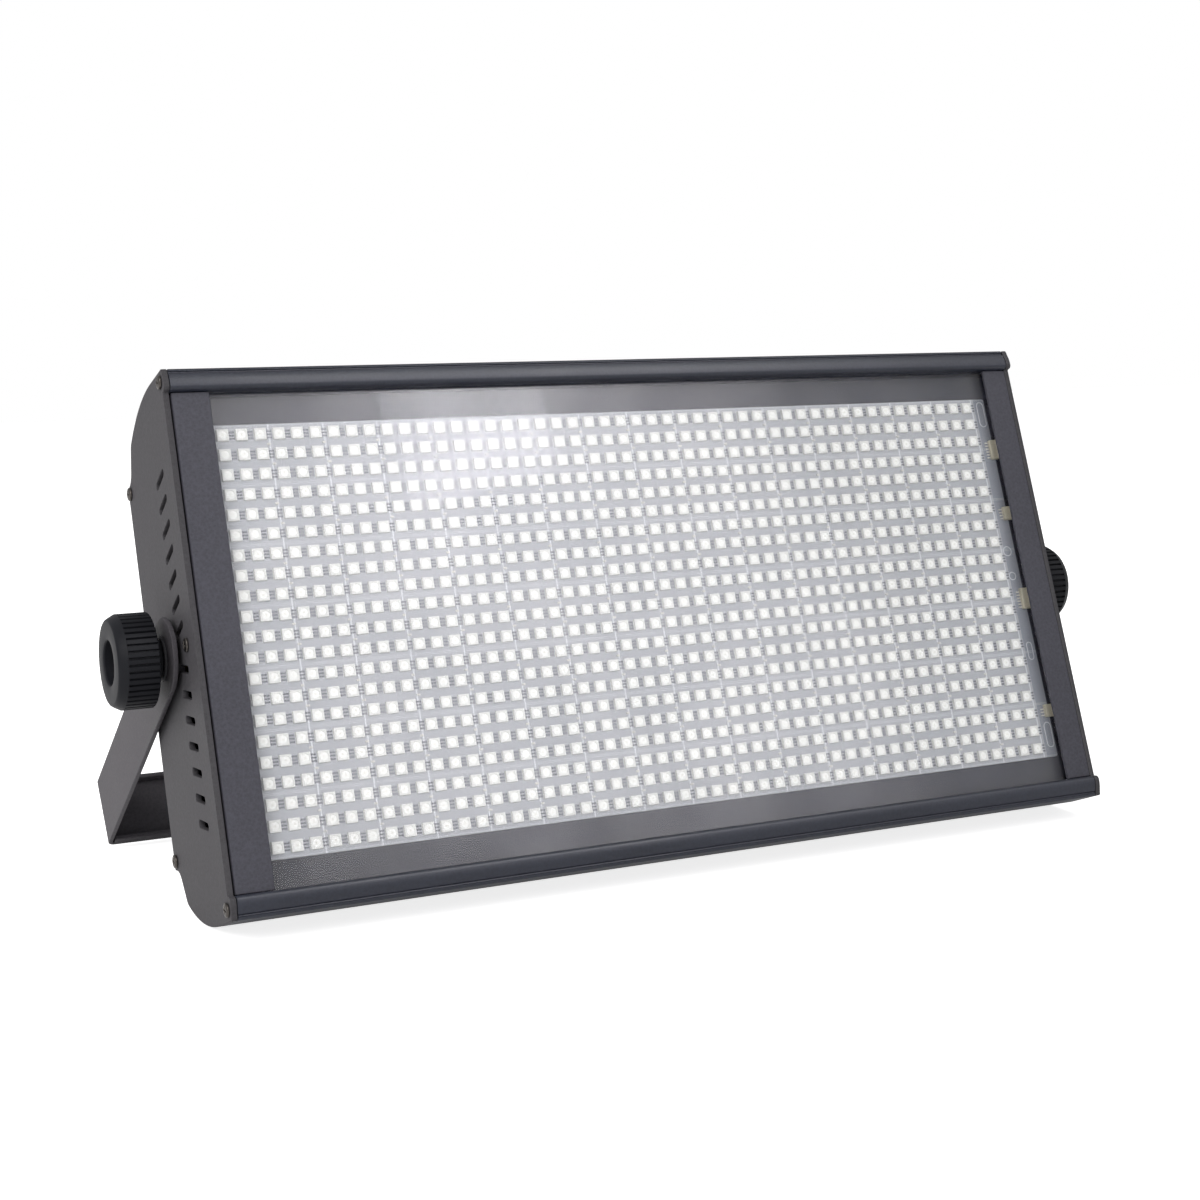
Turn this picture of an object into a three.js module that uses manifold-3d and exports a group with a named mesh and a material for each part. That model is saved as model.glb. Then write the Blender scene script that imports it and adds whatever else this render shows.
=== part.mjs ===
// A panel strobe light: a flat housing with a window full of small lamps, held in a U-shaped yoke.
// Millimetres, +Z up. It stands on the floor at z = 0, leaning back on its yoke, with its front towards -Y.
// Inside the housing's group x is to the right, y is the depth behind the rails' front and z is up
// from the housing's middle. Inside the yoke's group y runs from the studs to the yoke's bar.

import * as THREE from "three";
import { mergeVertices } from "three/addons/utils/BufferGeometryUtils.js";
import Module from "manifold-3d";

const wasm = await Module();
wasm.setup();

// Clearances shared by all pieces
const SEAT = 0.3; // between two pieces that touch
const RUN = 0.35; // round a shaft or a sliding piece
const OVERRUN = 1; // how far a cut runs past the face it opens

// Housing outline, the same for the end plates and the shells
const HOUSING_WIDTH = 425;
const HOUSING_HALF_HEIGHT = 112;
const HOUSING_DEPTH = 79.5;
const HOUSING_TILT = THREE.MathUtils.degToRad(19.3);
const FACE_SETBACK = 3; // of the plates' and fillers' face behind the rails' front
const RAIL_HEIGHT = 9.7; // of each front rail, from the window's edge to the roof
const RAIL_EDGE_RADIUS = 2;
const RAIL_CHAMFER = 2.1;
const RAIL_GROOVE_DEPTH = 0.7;
const RAIL_GROOVE_WIDTH = 1;
const RAIL_LAND = 0.2; // between the rail's groove and its chamfer
const ROOF_FLAT_DEPTH = 22; // where the roof starts to curve down
const ROOF_RADIUS = 80;
const ROOF_ANGLE = THREE.MathUtils.degToRad(30.8);
const ROOF_RUNOUT = 1.5;
const KNEE_RADIUS = 6;
const KNEE_ANGLE = THREE.MathUtils.degToRad(64);
const SHOULDER_LENGTH = 10;
const EAR_RADIUS = 8.5;
const EAR_ANGLE = THREE.MathUtils.degToRad(8);

// Shells
const SHELL_WALL = 2;
const PANEL_THICKNESS = 1.5;
const EAR_LENGTH = 7.4; // of the shell's rear ear, in depth
const EAR_DROP = 36; // of the ear's lower end below the roof
const GLASS_THICKNESS = 3;
const GLASS_SETBACK = 5.4; // of the glass's front behind the rails' front
const GROOVE_DEPTH = 2.7;
const GLASS_OVERLAP = 1.1;
const CUSHION_HEIGHT = 0.9;
const GLASS_SIDE_GAP = 0.3;
const INNER_LIP = 4.3; // of the shell's lip behind the glass, in depth

// End plates
const PLATE_THICKNESS = 2.5;
const SLOT_COUNT = 7; // on each side of the middle
const SLOT_PITCH = 10.6;
const SLOT_FIRST = 8;
const SLOT_LENGTH = 14.2;
const SLOT_WIDTH = 3.2;
const SLOT_ANGLE = THREE.MathUtils.degToRad(15);
const SLOT_DEPTH_PLACE = 24.5;
const FRONT_SCREW_DEPTH = 4.85;
const FRONT_SCREW_SHARE = 0.495; // of the rail's height
const REAR_SCREW_INSET = 2.1; // from the ear's back
const REAR_SCREW_RISE = 4; // above the ear's lower end
const MIDDLE_SCREW_DEPTH = 14.8;
const SCREW_RADIUS = 1.2;
const SCREW_LENGTH = 12;
const SCREW_HEAD_RADIUS = 3.1;
const SCREW_HEAD_HEIGHT = 1.4;
const SCREW_SIDES = 10;

// Filler strips
const FILLER_SEAM = 1; // between the strip and the end plate
const FILLER_FACE = 13.5; // width of the strip's face
const FILLER_WALL = 1.5;

// Lamp board, tray and heat sink
const LAMP_COLUMNS = 48;
const LAMP_ROWS = 21;
const LAMP_GROUP = 3; // lamps along each side of one printed group
const LAMP_SIZE = 5;
const LAMP_HEIGHT = 1.6;
const LAMP_DEPTH = 10; // of the lamps' faces behind the rails' front
const LAMP_SINK = 0.4; // of the lamps' bases in the board
const BOARD_COVER = 4.5; // of the board's ends by the filler strips
const BOARD_BAND = 12.3; // between the board and the window's upper and lower edge
const LAMP_SIDE_MARGIN = 8; // between the board's end and the outer lamps' cells
const LAMP_END_MARGIN = 0.33; // between the board's upper edge and the upper lamps' cells
const BOARD_THICKNESS = 1.6;
const EDGE_PLUG = { length: 10, depth: 4.4, width: 4.5, inset: 0.4 };
const EDGE_PLUG_SHARES = [-0.7, -0.34, 0.135, 0.755]; // of the board's half height
const TRAY_THICKNESS = 2;
const TAB_WIDTH = 6;
const TAB_HALF_HEIGHT = 4.5;
const TAB_DEPTH = 6.6;
const SINK_SIDE_ROOM = 37.5; // between the heat sink and the housing's end
const SINK_END_ROOM = 22.3; // between the heat sink and the window's edge
const SINK_BASE = 3;
const SINK_FIN_HEIGHT = 20;
const SINK_FIN_COUNT = 14;
const SINK_FIN_THICKNESS = 2;

// Rear panel
const PANEL_LAP = 6; // of the panel over each ear
const PANEL_SCREW_INSET = 28.5; // from the housing's end
const FAN_DEPTH = 25;
const FAN_X_SHARE = 21 / 85; // of the housing's width
const FAN_TOP_ROOM = 6; // between a fan and the upper ear
const FAN_BOTTOM_ROOM = 66; // between a fan and the lower ear, where the connectors are
const FAN_RIM = 2; // between the air way and the fan's side
const FAN_HUB = 17;
const FAN_TIP_GAP = 1.2;
const FAN_BLADES = 7;
const FAN_BLADE_THICKNESS = 1.6;
const FAN_BLADE_PITCH = THREE.MathUtils.degToRad(38);
const FAN_SHAFT = 1.5;
const FAN_STRUTS = 4;
const FAN_STRUT_WIDTH = 4;
const FAN_STRUT_DEPTH = 3;
const GRILLE_SLOT = 4;
const GRILLE_BAR = 3;

// Display, buttons and control board
const CONSOLE_X = 8;
const CONSOLE_RISE = 28; // of the display's middle above the lower ear
const BEZEL = { width: 46, height: 18 };
const BEZEL_PROUD = 0.6;
const WINDOW_DEPTH = 6;
const CONTROL_BOARD = { width: 74, height: 46, thickness: 1.6, depth: 66 };
const DISPLAY_BLOCK_INSET = 2;
const BUTTON_COUNT = 4;
const BUTTON_PITCH = 15;
const BUTTON_RADIUS = 3.6;
const BUTTON_FLANGE = 1.2;
const BUTTON_PROUD = 2.4;
const BUTTON_TRAVEL = 1;
const BUTTON_DROP = 18; // below the display's middle
const STANDOFF_RADIUS = 2.5;
const STANDOFF_INSET = 5;

// Power supply and driver board
const SUPPLY = { depth: 30, inletGap: 4, boardGap: 6, rise: 4, fanGap: 16 };
const DRIVER = { width: 120, thickness: 1.6, gap: 3, inset: 5, margin: 6.75 };
const DRIVER_FIN_COUNTS = [1, 4]; // fins below each row of the board's pegs
const DRIVER_CHIP = { size: 16, height: 5, count: 4 };

// Connectors on the rear panel
const CONNECTOR_RISE = 24; // of the connectors' middles above the lower ear
const INLET_INSET = 62.5; // of the inlet's middle from the housing's end
const INLET = { width: 50, height: 30, flange: 1.8, depth: 24 };
const INLET_SOCKET = { width: 24, height: 16, depth: 15, x: 8 };
const INLET_PIN = { width: 2, height: 4, length: 9, pitch: 7, drop: 2 };
const DRAWER = { width: 11, height: 20, depth: 17, x: -15, lip: 1.6, lipProud: 1.2 };
const SIGNAL_IN_SHARE = 0.2165; // of the housing's width
const SIGNAL_OUT_SHARE = 0.3106; // of the housing's width
const SIGNAL = { width: 26, height: 31, flange: 2, barrel: 11.5, depth: 22 };
const SIGNAL_CUP = { radius: 9.6, depth: 12 };
const SIGNAL_PIN = { radius: 1.2, circle: 4.6, length: 7, count: 3 };
const SIGNAL_FACE_PROUD = 1.4;
const LATCH = { width: 9, height: 3.6, proud: 1.6 };
const LATCH_TRAVEL = 1.2;
const EYE = { inset: 36.5, drop: 24, radius: 12, wire: 3, base: 2.5, baseWidth: 14, baseHeight: 34 };

// Yoke, measured from the studs' axis
const STUD_DEPTH = 40.4; // of the studs' axis behind the rails' front
const ARM_STANDOFF = 2; // between the end plate and the arm
const YOKE_THICKNESS = 2;
const YOKE_HALF_WIDTH = 16;
const YOKE_LENGTH = 156.7;
const ARM_END_OFFSET = 2;
const YOKE_BEND_RADIUS = 3.2;
const BAR_FLANGE = 6;
const BAR_HOLE_RADIUS = 6.5;
const BAR_SIDE_HOLE_RADIUS = 4.5;
const BAR_SIDE_HOLE_X = 60;
const FRICTION_WASHER_RADIUS = 12;

// Clamp knobs, along the studs' axis
const CLAMP_WASHER_THICKNESS = 1.2;
const CLAMP_WASHER_RADIUS = 9.5;
const NECK_RADIUS = 8.6;
const NECK_LENGTH = 3.8;
const KNOB_RADIUS = 19.7;
const KNOB_LENGTH = 13.2;
const KNOB_CHAMFER_LENGTH = 3.5;
const KNOB_FACE_RADIUS = 17.3;
const KNOB_RECESS_RADIUS = 9.3;
const KNOB_RECESS_DEPTH = 9;
const RIB_COUNT = 44;
const RIB_HEIGHT = 0.8;
const RIB_CREST_SHARE = 0.5; // of the rib's pitch
const STUD_RADIUS = 4;
const STUD_GRIP = 5; // of the stud inside the knob
const INSERT = { length: 16, radius: 8, flange: 11, flangeThickness: 2.4 };

// Numbers of flat sides on round shapes
const ROUND = 32;
const ROUND_SMALL = 16;
const ARC_STEPS = 8;
const CORNER_STEPS = 3;

// Places that follow from the sizes above
const HOUSING_END = HOUSING_WIDTH / 2;
const PLATE_INNER = HOUSING_END - PLATE_THICKNESS;
const SHELL_END = PLATE_INNER - SEAT;
const FILLER_OUTER = PLATE_INNER - FILLER_SEAM;
const WINDOW_HALF_WIDTH = FILLER_OUTER - FILLER_FACE;
const WINDOW_HALF_HEIGHT = HOUSING_HALF_HEIGHT - RAIL_HEIGHT;
const RAIL_BEAD_HEIGHT = RAIL_HEIGHT - RAIL_CHAMFER - RAIL_GROOVE_WIDTH - RAIL_LAND;
const PANEL_BACK = HOUSING_DEPTH;
const PANEL_FRONT = PANEL_BACK - PANEL_THICKNESS;
const EAR_BACK = PANEL_FRONT - SEAT;
const EAR_FRONT = EAR_BACK - EAR_LENGTH;
const EAR_BOTTOM = HOUSING_HALF_HEIGHT - EAR_DROP;
const PANEL_HALF_HEIGHT = EAR_BOTTOM + PANEL_LAP;
const PANEL_SCREW_X = HOUSING_END - PANEL_SCREW_INSET;
const FRONT_SCREW_HEIGHT = WINDOW_HALF_HEIGHT + FRONT_SCREW_SHARE * RAIL_HEIGHT;
const FRONT_SCREW = { depth: FRONT_SCREW_DEPTH, height: FRONT_SCREW_HEIGHT };
const REAR_SCREW = { depth: EAR_BACK - REAR_SCREW_INSET, height: EAR_BOTTOM + REAR_SCREW_RISE };
const BEHIND_PANEL = PANEL_FRONT - SEAT; // where pieces seated on the panel's inside end
const GROOVE_FRONT = GLASS_SETBACK - SEAT;
const GROOVE_BACK = GLASS_SETBACK + GLASS_THICKNESS + SEAT;
const LIP_BACK = GROOVE_BACK + INNER_LIP;
const BOARD_WIDTH = 2 * (WINDOW_HALF_WIDTH + BOARD_COVER);
const BOARD_HEIGHT = 2 * (WINDOW_HALF_HEIGHT - BOARD_BAND);
const LAMP_PITCH_X = (BOARD_WIDTH - 2 * LAMP_SIDE_MARGIN) / LAMP_COLUMNS;
const LAMP_PITCH_Z = (BOARD_HEIGHT - 2 * LAMP_END_MARGIN) / LAMP_ROWS;
const BOARD_FRONT = LAMP_DEPTH + LAMP_HEIGHT;
const TRAY_FRONT = Math.max(LIP_BACK, BOARD_FRONT + BOARD_THICKNESS) + SEAT;
const TRAY_BACK = TRAY_FRONT + TRAY_THICKNESS;
const TAB_FRONT = MIDDLE_SCREW_DEPTH - TAB_DEPTH / 2;
const SINK_WIDTH = 2 * (HOUSING_END - SINK_SIDE_ROOM);
const SINK_HEIGHT = 2 * (WINDOW_HALF_HEIGHT - SINK_END_ROOM);
const SINK_FRONT = TRAY_BACK + SEAT;
const SINK_BACK = SINK_FRONT + SINK_BASE + SINK_FIN_HEIGHT;
const FAN_SIZE = 2 * EAR_BOTTOM - FAN_TOP_ROOM - FAN_BOTTOM_ROOM;
const FAN_BORE = FAN_SIZE / 2 - FAN_RIM; // radius of the air way
const FAN_X = HOUSING_WIDTH * FAN_X_SHARE;
const FAN_Z = EAR_BOTTOM - FAN_TOP_ROOM - FAN_SIZE / 2;
const CONSOLE_Z = CONSOLE_RISE - EAR_BOTTOM;
const CONNECTOR_Z = CONNECTOR_RISE - EAR_BOTTOM;
const INLET_X = INLET_INSET - HOUSING_END;
const SIGNAL_IN_X = HOUSING_WIDTH * SIGNAL_IN_SHARE;
const SIGNAL_OUT_X = HOUSING_WIDTH * SIGNAL_OUT_SHARE;
const EYE_X = HOUSING_END - EYE.inset;
const EYE_Z = EAR_BOTTOM - EYE.drop;
const ARM_OUTER = HOUSING_END + ARM_STANDOFF + YOKE_THICKNESS;
const ARM_INNER = ARM_OUTER - YOKE_THICKNESS;

// Finishes
const finish = (color, roughness, metalness) =>
  new THREE.MeshStandardMaterial({ color, roughness, metalness });
const BLACK_POWDER_COAT = finish(0x3b3c40, 0.6, 0.2);
const SIDE_POWDER_COAT = finish(0x4b4b4e, 0.6, 0.2);
const BLACK_PLASTIC = finish(0x222327, 0.5, 0);
const CLEAR_GLASS = finish(0xe8f0f2, 0.05, 0);
const WHITE_BOARD = finish(0xd9dadc, 0.5, 0);
const GREEN_BOARD = finish(0x1f5a36, 0.5, 0);
const BARE_ALUMINIUM = finish(0xb4b7ba, 0.4, 0.9);
const BRIGHT_STEEL = finish(0xb9b3a8, 0.3, 1);
const ZINC_STEEL = finish(0x9da0a3, 0.4, 1);
const RUBBER = finish(0x1a1a1b, 0.9, 0);
const BRASS = finish(0xb08d4a, 0.35, 1);
const DARK_WINDOW = finish(0x14161a, 0.1, 0);

// A closed geometry as a solid that can be joined and cut.
function solid(geometry) {
  const bare = new THREE.BufferGeometry();
  bare.setAttribute("position", geometry.getAttribute("position"));
  if (geometry.index) {
    bare.setIndex(geometry.index);
  }
  const merged = mergeVertices(bare, 1e-4);
  const mesh = new wasm.Mesh({
    numProp: 3,
    vertProperties: merged.attributes.position.array,
    triVerts: new Uint32Array(merged.index.array),
  });
  return new wasm.Manifold(mesh);
}

// A solid as a geometry with flat faces.
function geometryOf(body) {
  const mesh = body.getMesh();
  const indexed = new THREE.BufferGeometry();
  indexed.setAttribute("position", new THREE.BufferAttribute(mesh.vertProperties, 3));
  indexed.setIndex(new THREE.BufferAttribute(mesh.triVerts, 1));
  const flat = indexed.toNonIndexed();
  flat.computeVertexNormals();
  return flat;
}

const join = (first, ...others) => others.reduce((sum, next) => sum.add(next), first);
const cut = (first, ...others) => others.reduce((sum, next) => sum.subtract(next), first);

// A named mesh from a solid.
function piece(name, material, body) {
  const mesh = new THREE.Mesh(geometryOf(body), material);
  mesh.name = name;
  return mesh;
}

const point = (x, y) => new THREE.Vector2(x, y);

// Points of an arc about (cx, cy), from one angle to the other.
function arc(cx, cy, radius, from, to, steps) {
  return Array.from({ length: steps + 1 }, (_, i) => {
    const angle = from + ((to - from) * i) / steps;
    return point(cx + radius * Math.cos(angle), cy + radius * Math.sin(angle));
  });
}

// An outline of (depth, height) points carried along x, with holes of the same kind through it.
function alongX(outline, x0, x1, holes = []) {
  const shape = new THREE.Shape(outline);
  const geometry = new THREE.ExtrudeGeometry(shape, { depth: x1 - x0, bevelEnabled: false });
  const turn = new THREE.Matrix4().makeBasis(
    new THREE.Vector3(0, 1, 0),
    new THREE.Vector3(0, 0, 1),
    new THREE.Vector3(1, 0, 0),
  );
  const bar = solid(geometry.applyMatrix4(turn).translate(x0, 0, 0));
  return cut(bar, ...holes.map((hole) => alongX(hole, x0 - OVERRUN, x1 + OVERRUN)));
}

// An outline of (x, height) points carried along the depth, with holes of the same kind through it.
function alongY(outline, y0, y1, holes = []) {
  const shape = new THREE.Shape(outline);
  const geometry = new THREE.ExtrudeGeometry(shape, { depth: y1 - y0, bevelEnabled: false });
  const bar = solid(geometry.rotateX(Math.PI / 2).translate(0, y1, 0));
  return cut(bar, ...holes.map((hole) => alongY(hole, y0 - OVERRUN, y1 + OVERRUN)));
}

// An outline of (x, depth) points carried along z.
function alongZ(outline, z0, z1) {
  const shape = new THREE.Shape(outline);
  const geometry = new THREE.ExtrudeGeometry(shape, { depth: z1 - z0, bevelEnabled: false });
  return solid(geometry.translate(0, 0, z0));
}

const rectangle = (u0, u1, v0, v1) => [point(u0, v0), point(u1, v0), point(u1, v1), point(u0, v1)];

function box(x0, x1, y0, y1, z0, z1) {
  const geometry = new THREE.BoxGeometry(x1 - x0, y1 - y0, z1 - z0);
  return solid(geometry.translate((x0 + x1) / 2, (y0 + y1) / 2, (z0 + z1) / 2));
}

const circle = (cx, cy, radius, sides) => arc(cx, cy, radius, 0, 2 * Math.PI, sides).slice(0, -1);

const rodX = (y, z, radius, x0, x1, sides = ROUND_SMALL) =>
  alongX(circle(y, z, radius, sides), x0, x1);
const rodY = (x, z, radius, y0, y1, sides = ROUND_SMALL) =>
  alongY(circle(x, z, radius, sides), y0, y1);

// A profile of (radius, distance) points turned about the x axis, with distance along +x.
function turnedX(profile, sides) {
  const geometry = new THREE.LatheGeometry(profile, sides);
  return solid(geometry.rotateZ(-Math.PI / 2));
}

// An outline of (depth, height) points turned upside down, still anticlockwise.
const mirrored = (outline) => outline.map((p) => point(p.x, -p.y)).reverse();

// The housing's outline from the front of the top rail to the rear corner, upper half, as (depth, height).
function roofOutline() {
  const rail = [
    ...arc(RAIL_EDGE_RADIUS, WINDOW_HALF_HEIGHT + RAIL_EDGE_RADIUS, RAIL_EDGE_RADIUS,
      1.5 * Math.PI, Math.PI, CORNER_STEPS),
    point(0, HOUSING_HALF_HEIGHT - RAIL_CHAMFER),
    point(RAIL_CHAMFER, HOUSING_HALF_HEIGHT),
  ];
  const centre = HOUSING_HALF_HEIGHT - ROOF_RADIUS;
  const roof = arc(ROOF_FLAT_DEPTH, centre, ROOF_RADIUS, Math.PI / 2, Math.PI / 2 - ROOF_ANGLE, ARC_STEPS);
  const path = [...rail, ...roof];
  const pen = { at: roof[roof.length - 1].clone(), heading: -ROOF_ANGLE };
  goStraight(path, pen, ROOF_RUNOUT);
  goRound(path, pen, KNEE_RADIUS, -KNEE_ANGLE);
  goStraight(path, pen, SHOULDER_LENGTH);
  goRound(path, pen, EAR_RADIUS, -EAR_ANGLE);
  goStraight(path, pen, (HOUSING_DEPTH - pen.at.x) / Math.cos(EAR_ANGLE));
  return path;
}

// Moves the pen straight on and adds the point it reaches.
function goStraight(path, pen, length) {
  pen.at = point(
    pen.at.x + length * Math.cos(pen.heading),
    pen.at.y + length * Math.sin(pen.heading),
  );
  path.push(pen.at);
}

// Moves the pen round an arc that ends in a new heading, and adds the arc's points.
function goRound(path, pen, radius, heading) {
  const side = Math.sign(heading - pen.heading);
  const centre = point(
    pen.at.x - side * radius * Math.sin(pen.heading),
    pen.at.y + side * radius * Math.cos(pen.heading),
  );
  for (let i = 1; i <= CORNER_STEPS; i++) {
    const angle = pen.heading + ((heading - pen.heading) * i) / CORNER_STEPS;
    path.push(point(
      centre.x + side * radius * Math.sin(angle),
      centre.y - side * radius * Math.cos(angle),
    ));
  }
  pen.at = path[path.length - 1];
  pen.heading = heading;
}

// A path moved to its right by a distance, as seen while walking along it.
function offsetRight(path, distance) {
  return path.map((p, i) => {
    const before = path[Math.max(i - 1, 0)];
    const after = path[Math.min(i + 1, path.length - 1)];
    const length = before.distanceTo(after);
    return point(
      p.x + (distance * (after.y - before.y)) / length,
      p.y - (distance * (after.x - before.x)) / length,
    );
  });
}

// The cross-section of the top shell: rail with glass groove, roof, and the ear that carries the panel.
function shellOutline() {
  const outline = roofOutline();
  const outer = outline.filter((p) => p.x < EAR_BACK);
  const beadTop = WINDOW_HALF_HEIGHT + RAIL_BEAD_HEIGHT;
  const rail = [
    ...outer.slice(0, CORNER_STEPS + 1),
    point(0, beadTop),
    point(RAIL_GROOVE_DEPTH, beadTop + RAIL_GROOVE_WIDTH / 2),
    point(0, beadTop + RAIL_GROOVE_WIDTH),
  ];
  const roof = outer.slice(CORNER_STEPS + 1);
  const last = outline[outline.length - 1];
  const previous = outline[outline.length - 2];
  const share = (EAR_BACK - previous.x) / (last.x - previous.x);
  const earTop = point(EAR_BACK, previous.y + share * (last.y - previous.y));
  const inner = offsetRight(roof, SHELL_WALL).filter((p) => p.x > LIP_BACK && p.x < EAR_FRONT);
  const ceiling = HOUSING_HALF_HEIGHT - SHELL_WALL;
  return [
    ...rail,
    ...roof,
    earTop,
    point(EAR_BACK, EAR_BOTTOM),
    point(EAR_FRONT, EAR_BOTTOM),
    point(EAR_FRONT, inner[inner.length - 1].y - (EAR_FRONT - inner[inner.length - 1].x)),
    ...inner.reverse(),
    point(LIP_BACK, ceiling),
    point(LIP_BACK, WINDOW_HALF_HEIGHT),
    point(GROOVE_BACK, WINDOW_HALF_HEIGHT),
    point(GROOVE_BACK, WINDOW_HALF_HEIGHT + GROOVE_DEPTH),
    point(GROOVE_FRONT, WINDOW_HALF_HEIGHT + GROOVE_DEPTH),
    point(GROOVE_FRONT, WINDOW_HALF_HEIGHT),
  ].reverse();
}

// One shell, top (side 1) or bottom (side -1), with its drilled screw holes.
function shell(side) {
  const outline = side > 0 ? shellOutline() : mirrored(shellOutline());
  const bar = alongX(outline, -SHELL_END, SHELL_END);
  const bores = [];
  for (const end of [-1, 1]) {
    for (const screw of [FRONT_SCREW, REAR_SCREW]) {
      const inside = end * (SHELL_END - SCREW_LENGTH - RUN);
      const outside = end * (SHELL_END + OVERRUN);
      bores.push(rodX(screw.depth, side * screw.height, SCREW_RADIUS + SEAT,
        Math.min(inside, outside), Math.max(inside, outside), SCREW_SIDES));
    }
    bores.push(rodY(end * PANEL_SCREW_X, side * REAR_SCREW.height, SCREW_RADIUS + SEAT,
      EAR_FRONT - OVERRUN, EAR_BACK + OVERRUN, SCREW_SIDES));
  }
  return cut(bar, ...bores);
}

// A vent slot with round ends, slanted so that its front end lies further from the middle.
function ventSlot(row, side) {
  const reach = (SLOT_LENGTH - SLOT_WIDTH) / 2;
  const lean = -side * SLOT_ANGLE;
  const height = side * (SLOT_FIRST + row * SLOT_PITCH);
  const front = point(SLOT_DEPTH_PLACE - reach * Math.cos(lean), height - reach * Math.sin(lean));
  const back = point(SLOT_DEPTH_PLACE + reach * Math.cos(lean), height + reach * Math.sin(lean));
  const radius = SLOT_WIDTH / 2;
  return [
    ...arc(back.x, back.y, radius, lean - Math.PI / 2, lean + Math.PI / 2, CORNER_STEPS),
    ...arc(front.x, front.y, radius, lean + Math.PI / 2, lean + 1.5 * Math.PI, CORNER_STEPS),
  ];
}

// An end plate with its vents, screw holes and the stud's hole; side -1 is the left one.
function endPlate(side) {
  const half = roofOutline();
  const front = [point(FACE_SETBACK, 0), point(FACE_SETBACK, WINDOW_HALF_HEIGHT)];
  const upper = [...front, ...half, point(HOUSING_DEPTH, 0)];
  const lower = mirrored(upper).slice(1, -1);
  const holes = [circle(STUD_DEPTH, 0, STUD_RADIUS + RUN, ROUND_SMALL)];
  for (const up of [-1, 1]) {
    for (let row = 0; row < SLOT_COUNT; row++) {
      holes.push(ventSlot(row, up));
    }
    for (const screw of [FRONT_SCREW, REAR_SCREW]) {
      holes.push(circle(screw.depth, up * screw.height, SCREW_RADIUS + SEAT, SCREW_SIDES));
    }
  }
  holes.push(circle(MIDDLE_SCREW_DEPTH, 0, SCREW_RADIUS + SEAT, SCREW_SIDES));
  const outer = side * HOUSING_END;
  const inner = side * PLATE_INNER;
  return alongX([...upper, ...lower].reverse(), Math.min(outer, inner), Math.max(outer, inner), holes);
}

// A screw along +x with its head's underside at x = 0 and its shank running towards -x.
function screwAlongX() {
  return turnedX([
    point(0, -SCREW_LENGTH),
    point(SCREW_RADIUS, -SCREW_LENGTH),
    point(SCREW_RADIUS, SEAT),
    point(SCREW_HEAD_RADIUS, SEAT),
    point(SCREW_HEAD_RADIUS, SEAT + SCREW_HEAD_HEIGHT / 2),
    point(SCREW_HEAD_RADIUS / 2, SEAT + SCREW_HEAD_HEIGHT),
    point(0, SEAT + SCREW_HEAD_HEIGHT),
  ], SCREW_SIDES);
}

function plateScrew(name, side, depth, height) {
  const mesh = piece(name, BRIGHT_STEEL, screwAlongX());
  mesh.position.set(side * HOUSING_END, depth, height);
  mesh.rotation.z = side > 0 ? 0 : Math.PI;
  return mesh;
}

function panelScrew(name, x, height) {
  const mesh = piece(name, BRIGHT_STEEL, screwAlongX());
  mesh.position.set(x, PANEL_BACK, height);
  mesh.rotation.z = Math.PI / 2;
  return mesh;
}

// A filler strip beside the window: a face with a flange that runs back along the end plate.
function filler(side) {
  const height = WINDOW_HALF_HEIGHT - SEAT;
  const outline = [
    point(WINDOW_HALF_WIDTH, FACE_SETBACK),
    point(FILLER_OUTER, FACE_SETBACK),
    point(FILLER_OUTER, TAB_FRONT - SEAT),
    point(FILLER_OUTER - FILLER_WALL, TAB_FRONT - SEAT),
    point(FILLER_OUTER - FILLER_WALL, FACE_SETBACK + FILLER_WALL),
    point(WINDOW_HALF_WIDTH, FACE_SETBACK + FILLER_WALL),
  ];
  const sided = side > 0 ? outline : outline.map((p) => point(-p.x, p.y)).reverse();
  return alongZ(sided, -height, height);
}

const glass = () => {
  const width = WINDOW_HALF_WIDTH - GLASS_SIDE_GAP;
  const height = WINDOW_HALF_HEIGHT + GLASS_OVERLAP;
  return box(-width, width, GLASS_SETBACK, GLASS_SETBACK + GLASS_THICKNESS, -height, height);
};

// The rubber strip between the glass's edge and the bottom of the rail's groove.
const cushion = (side) => {
  const width = WINDOW_HALF_WIDTH - GLASS_SIDE_GAP;
  const from = WINDOW_HALF_HEIGHT + GLASS_OVERLAP + SEAT;
  const low = Math.min(side * from, side * (from + CUSHION_HEIGHT));
  return box(-width, width, GLASS_SETBACK, GLASS_SETBACK + GLASS_THICKNESS, low, low + CUSHION_HEIGHT);
};

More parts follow.
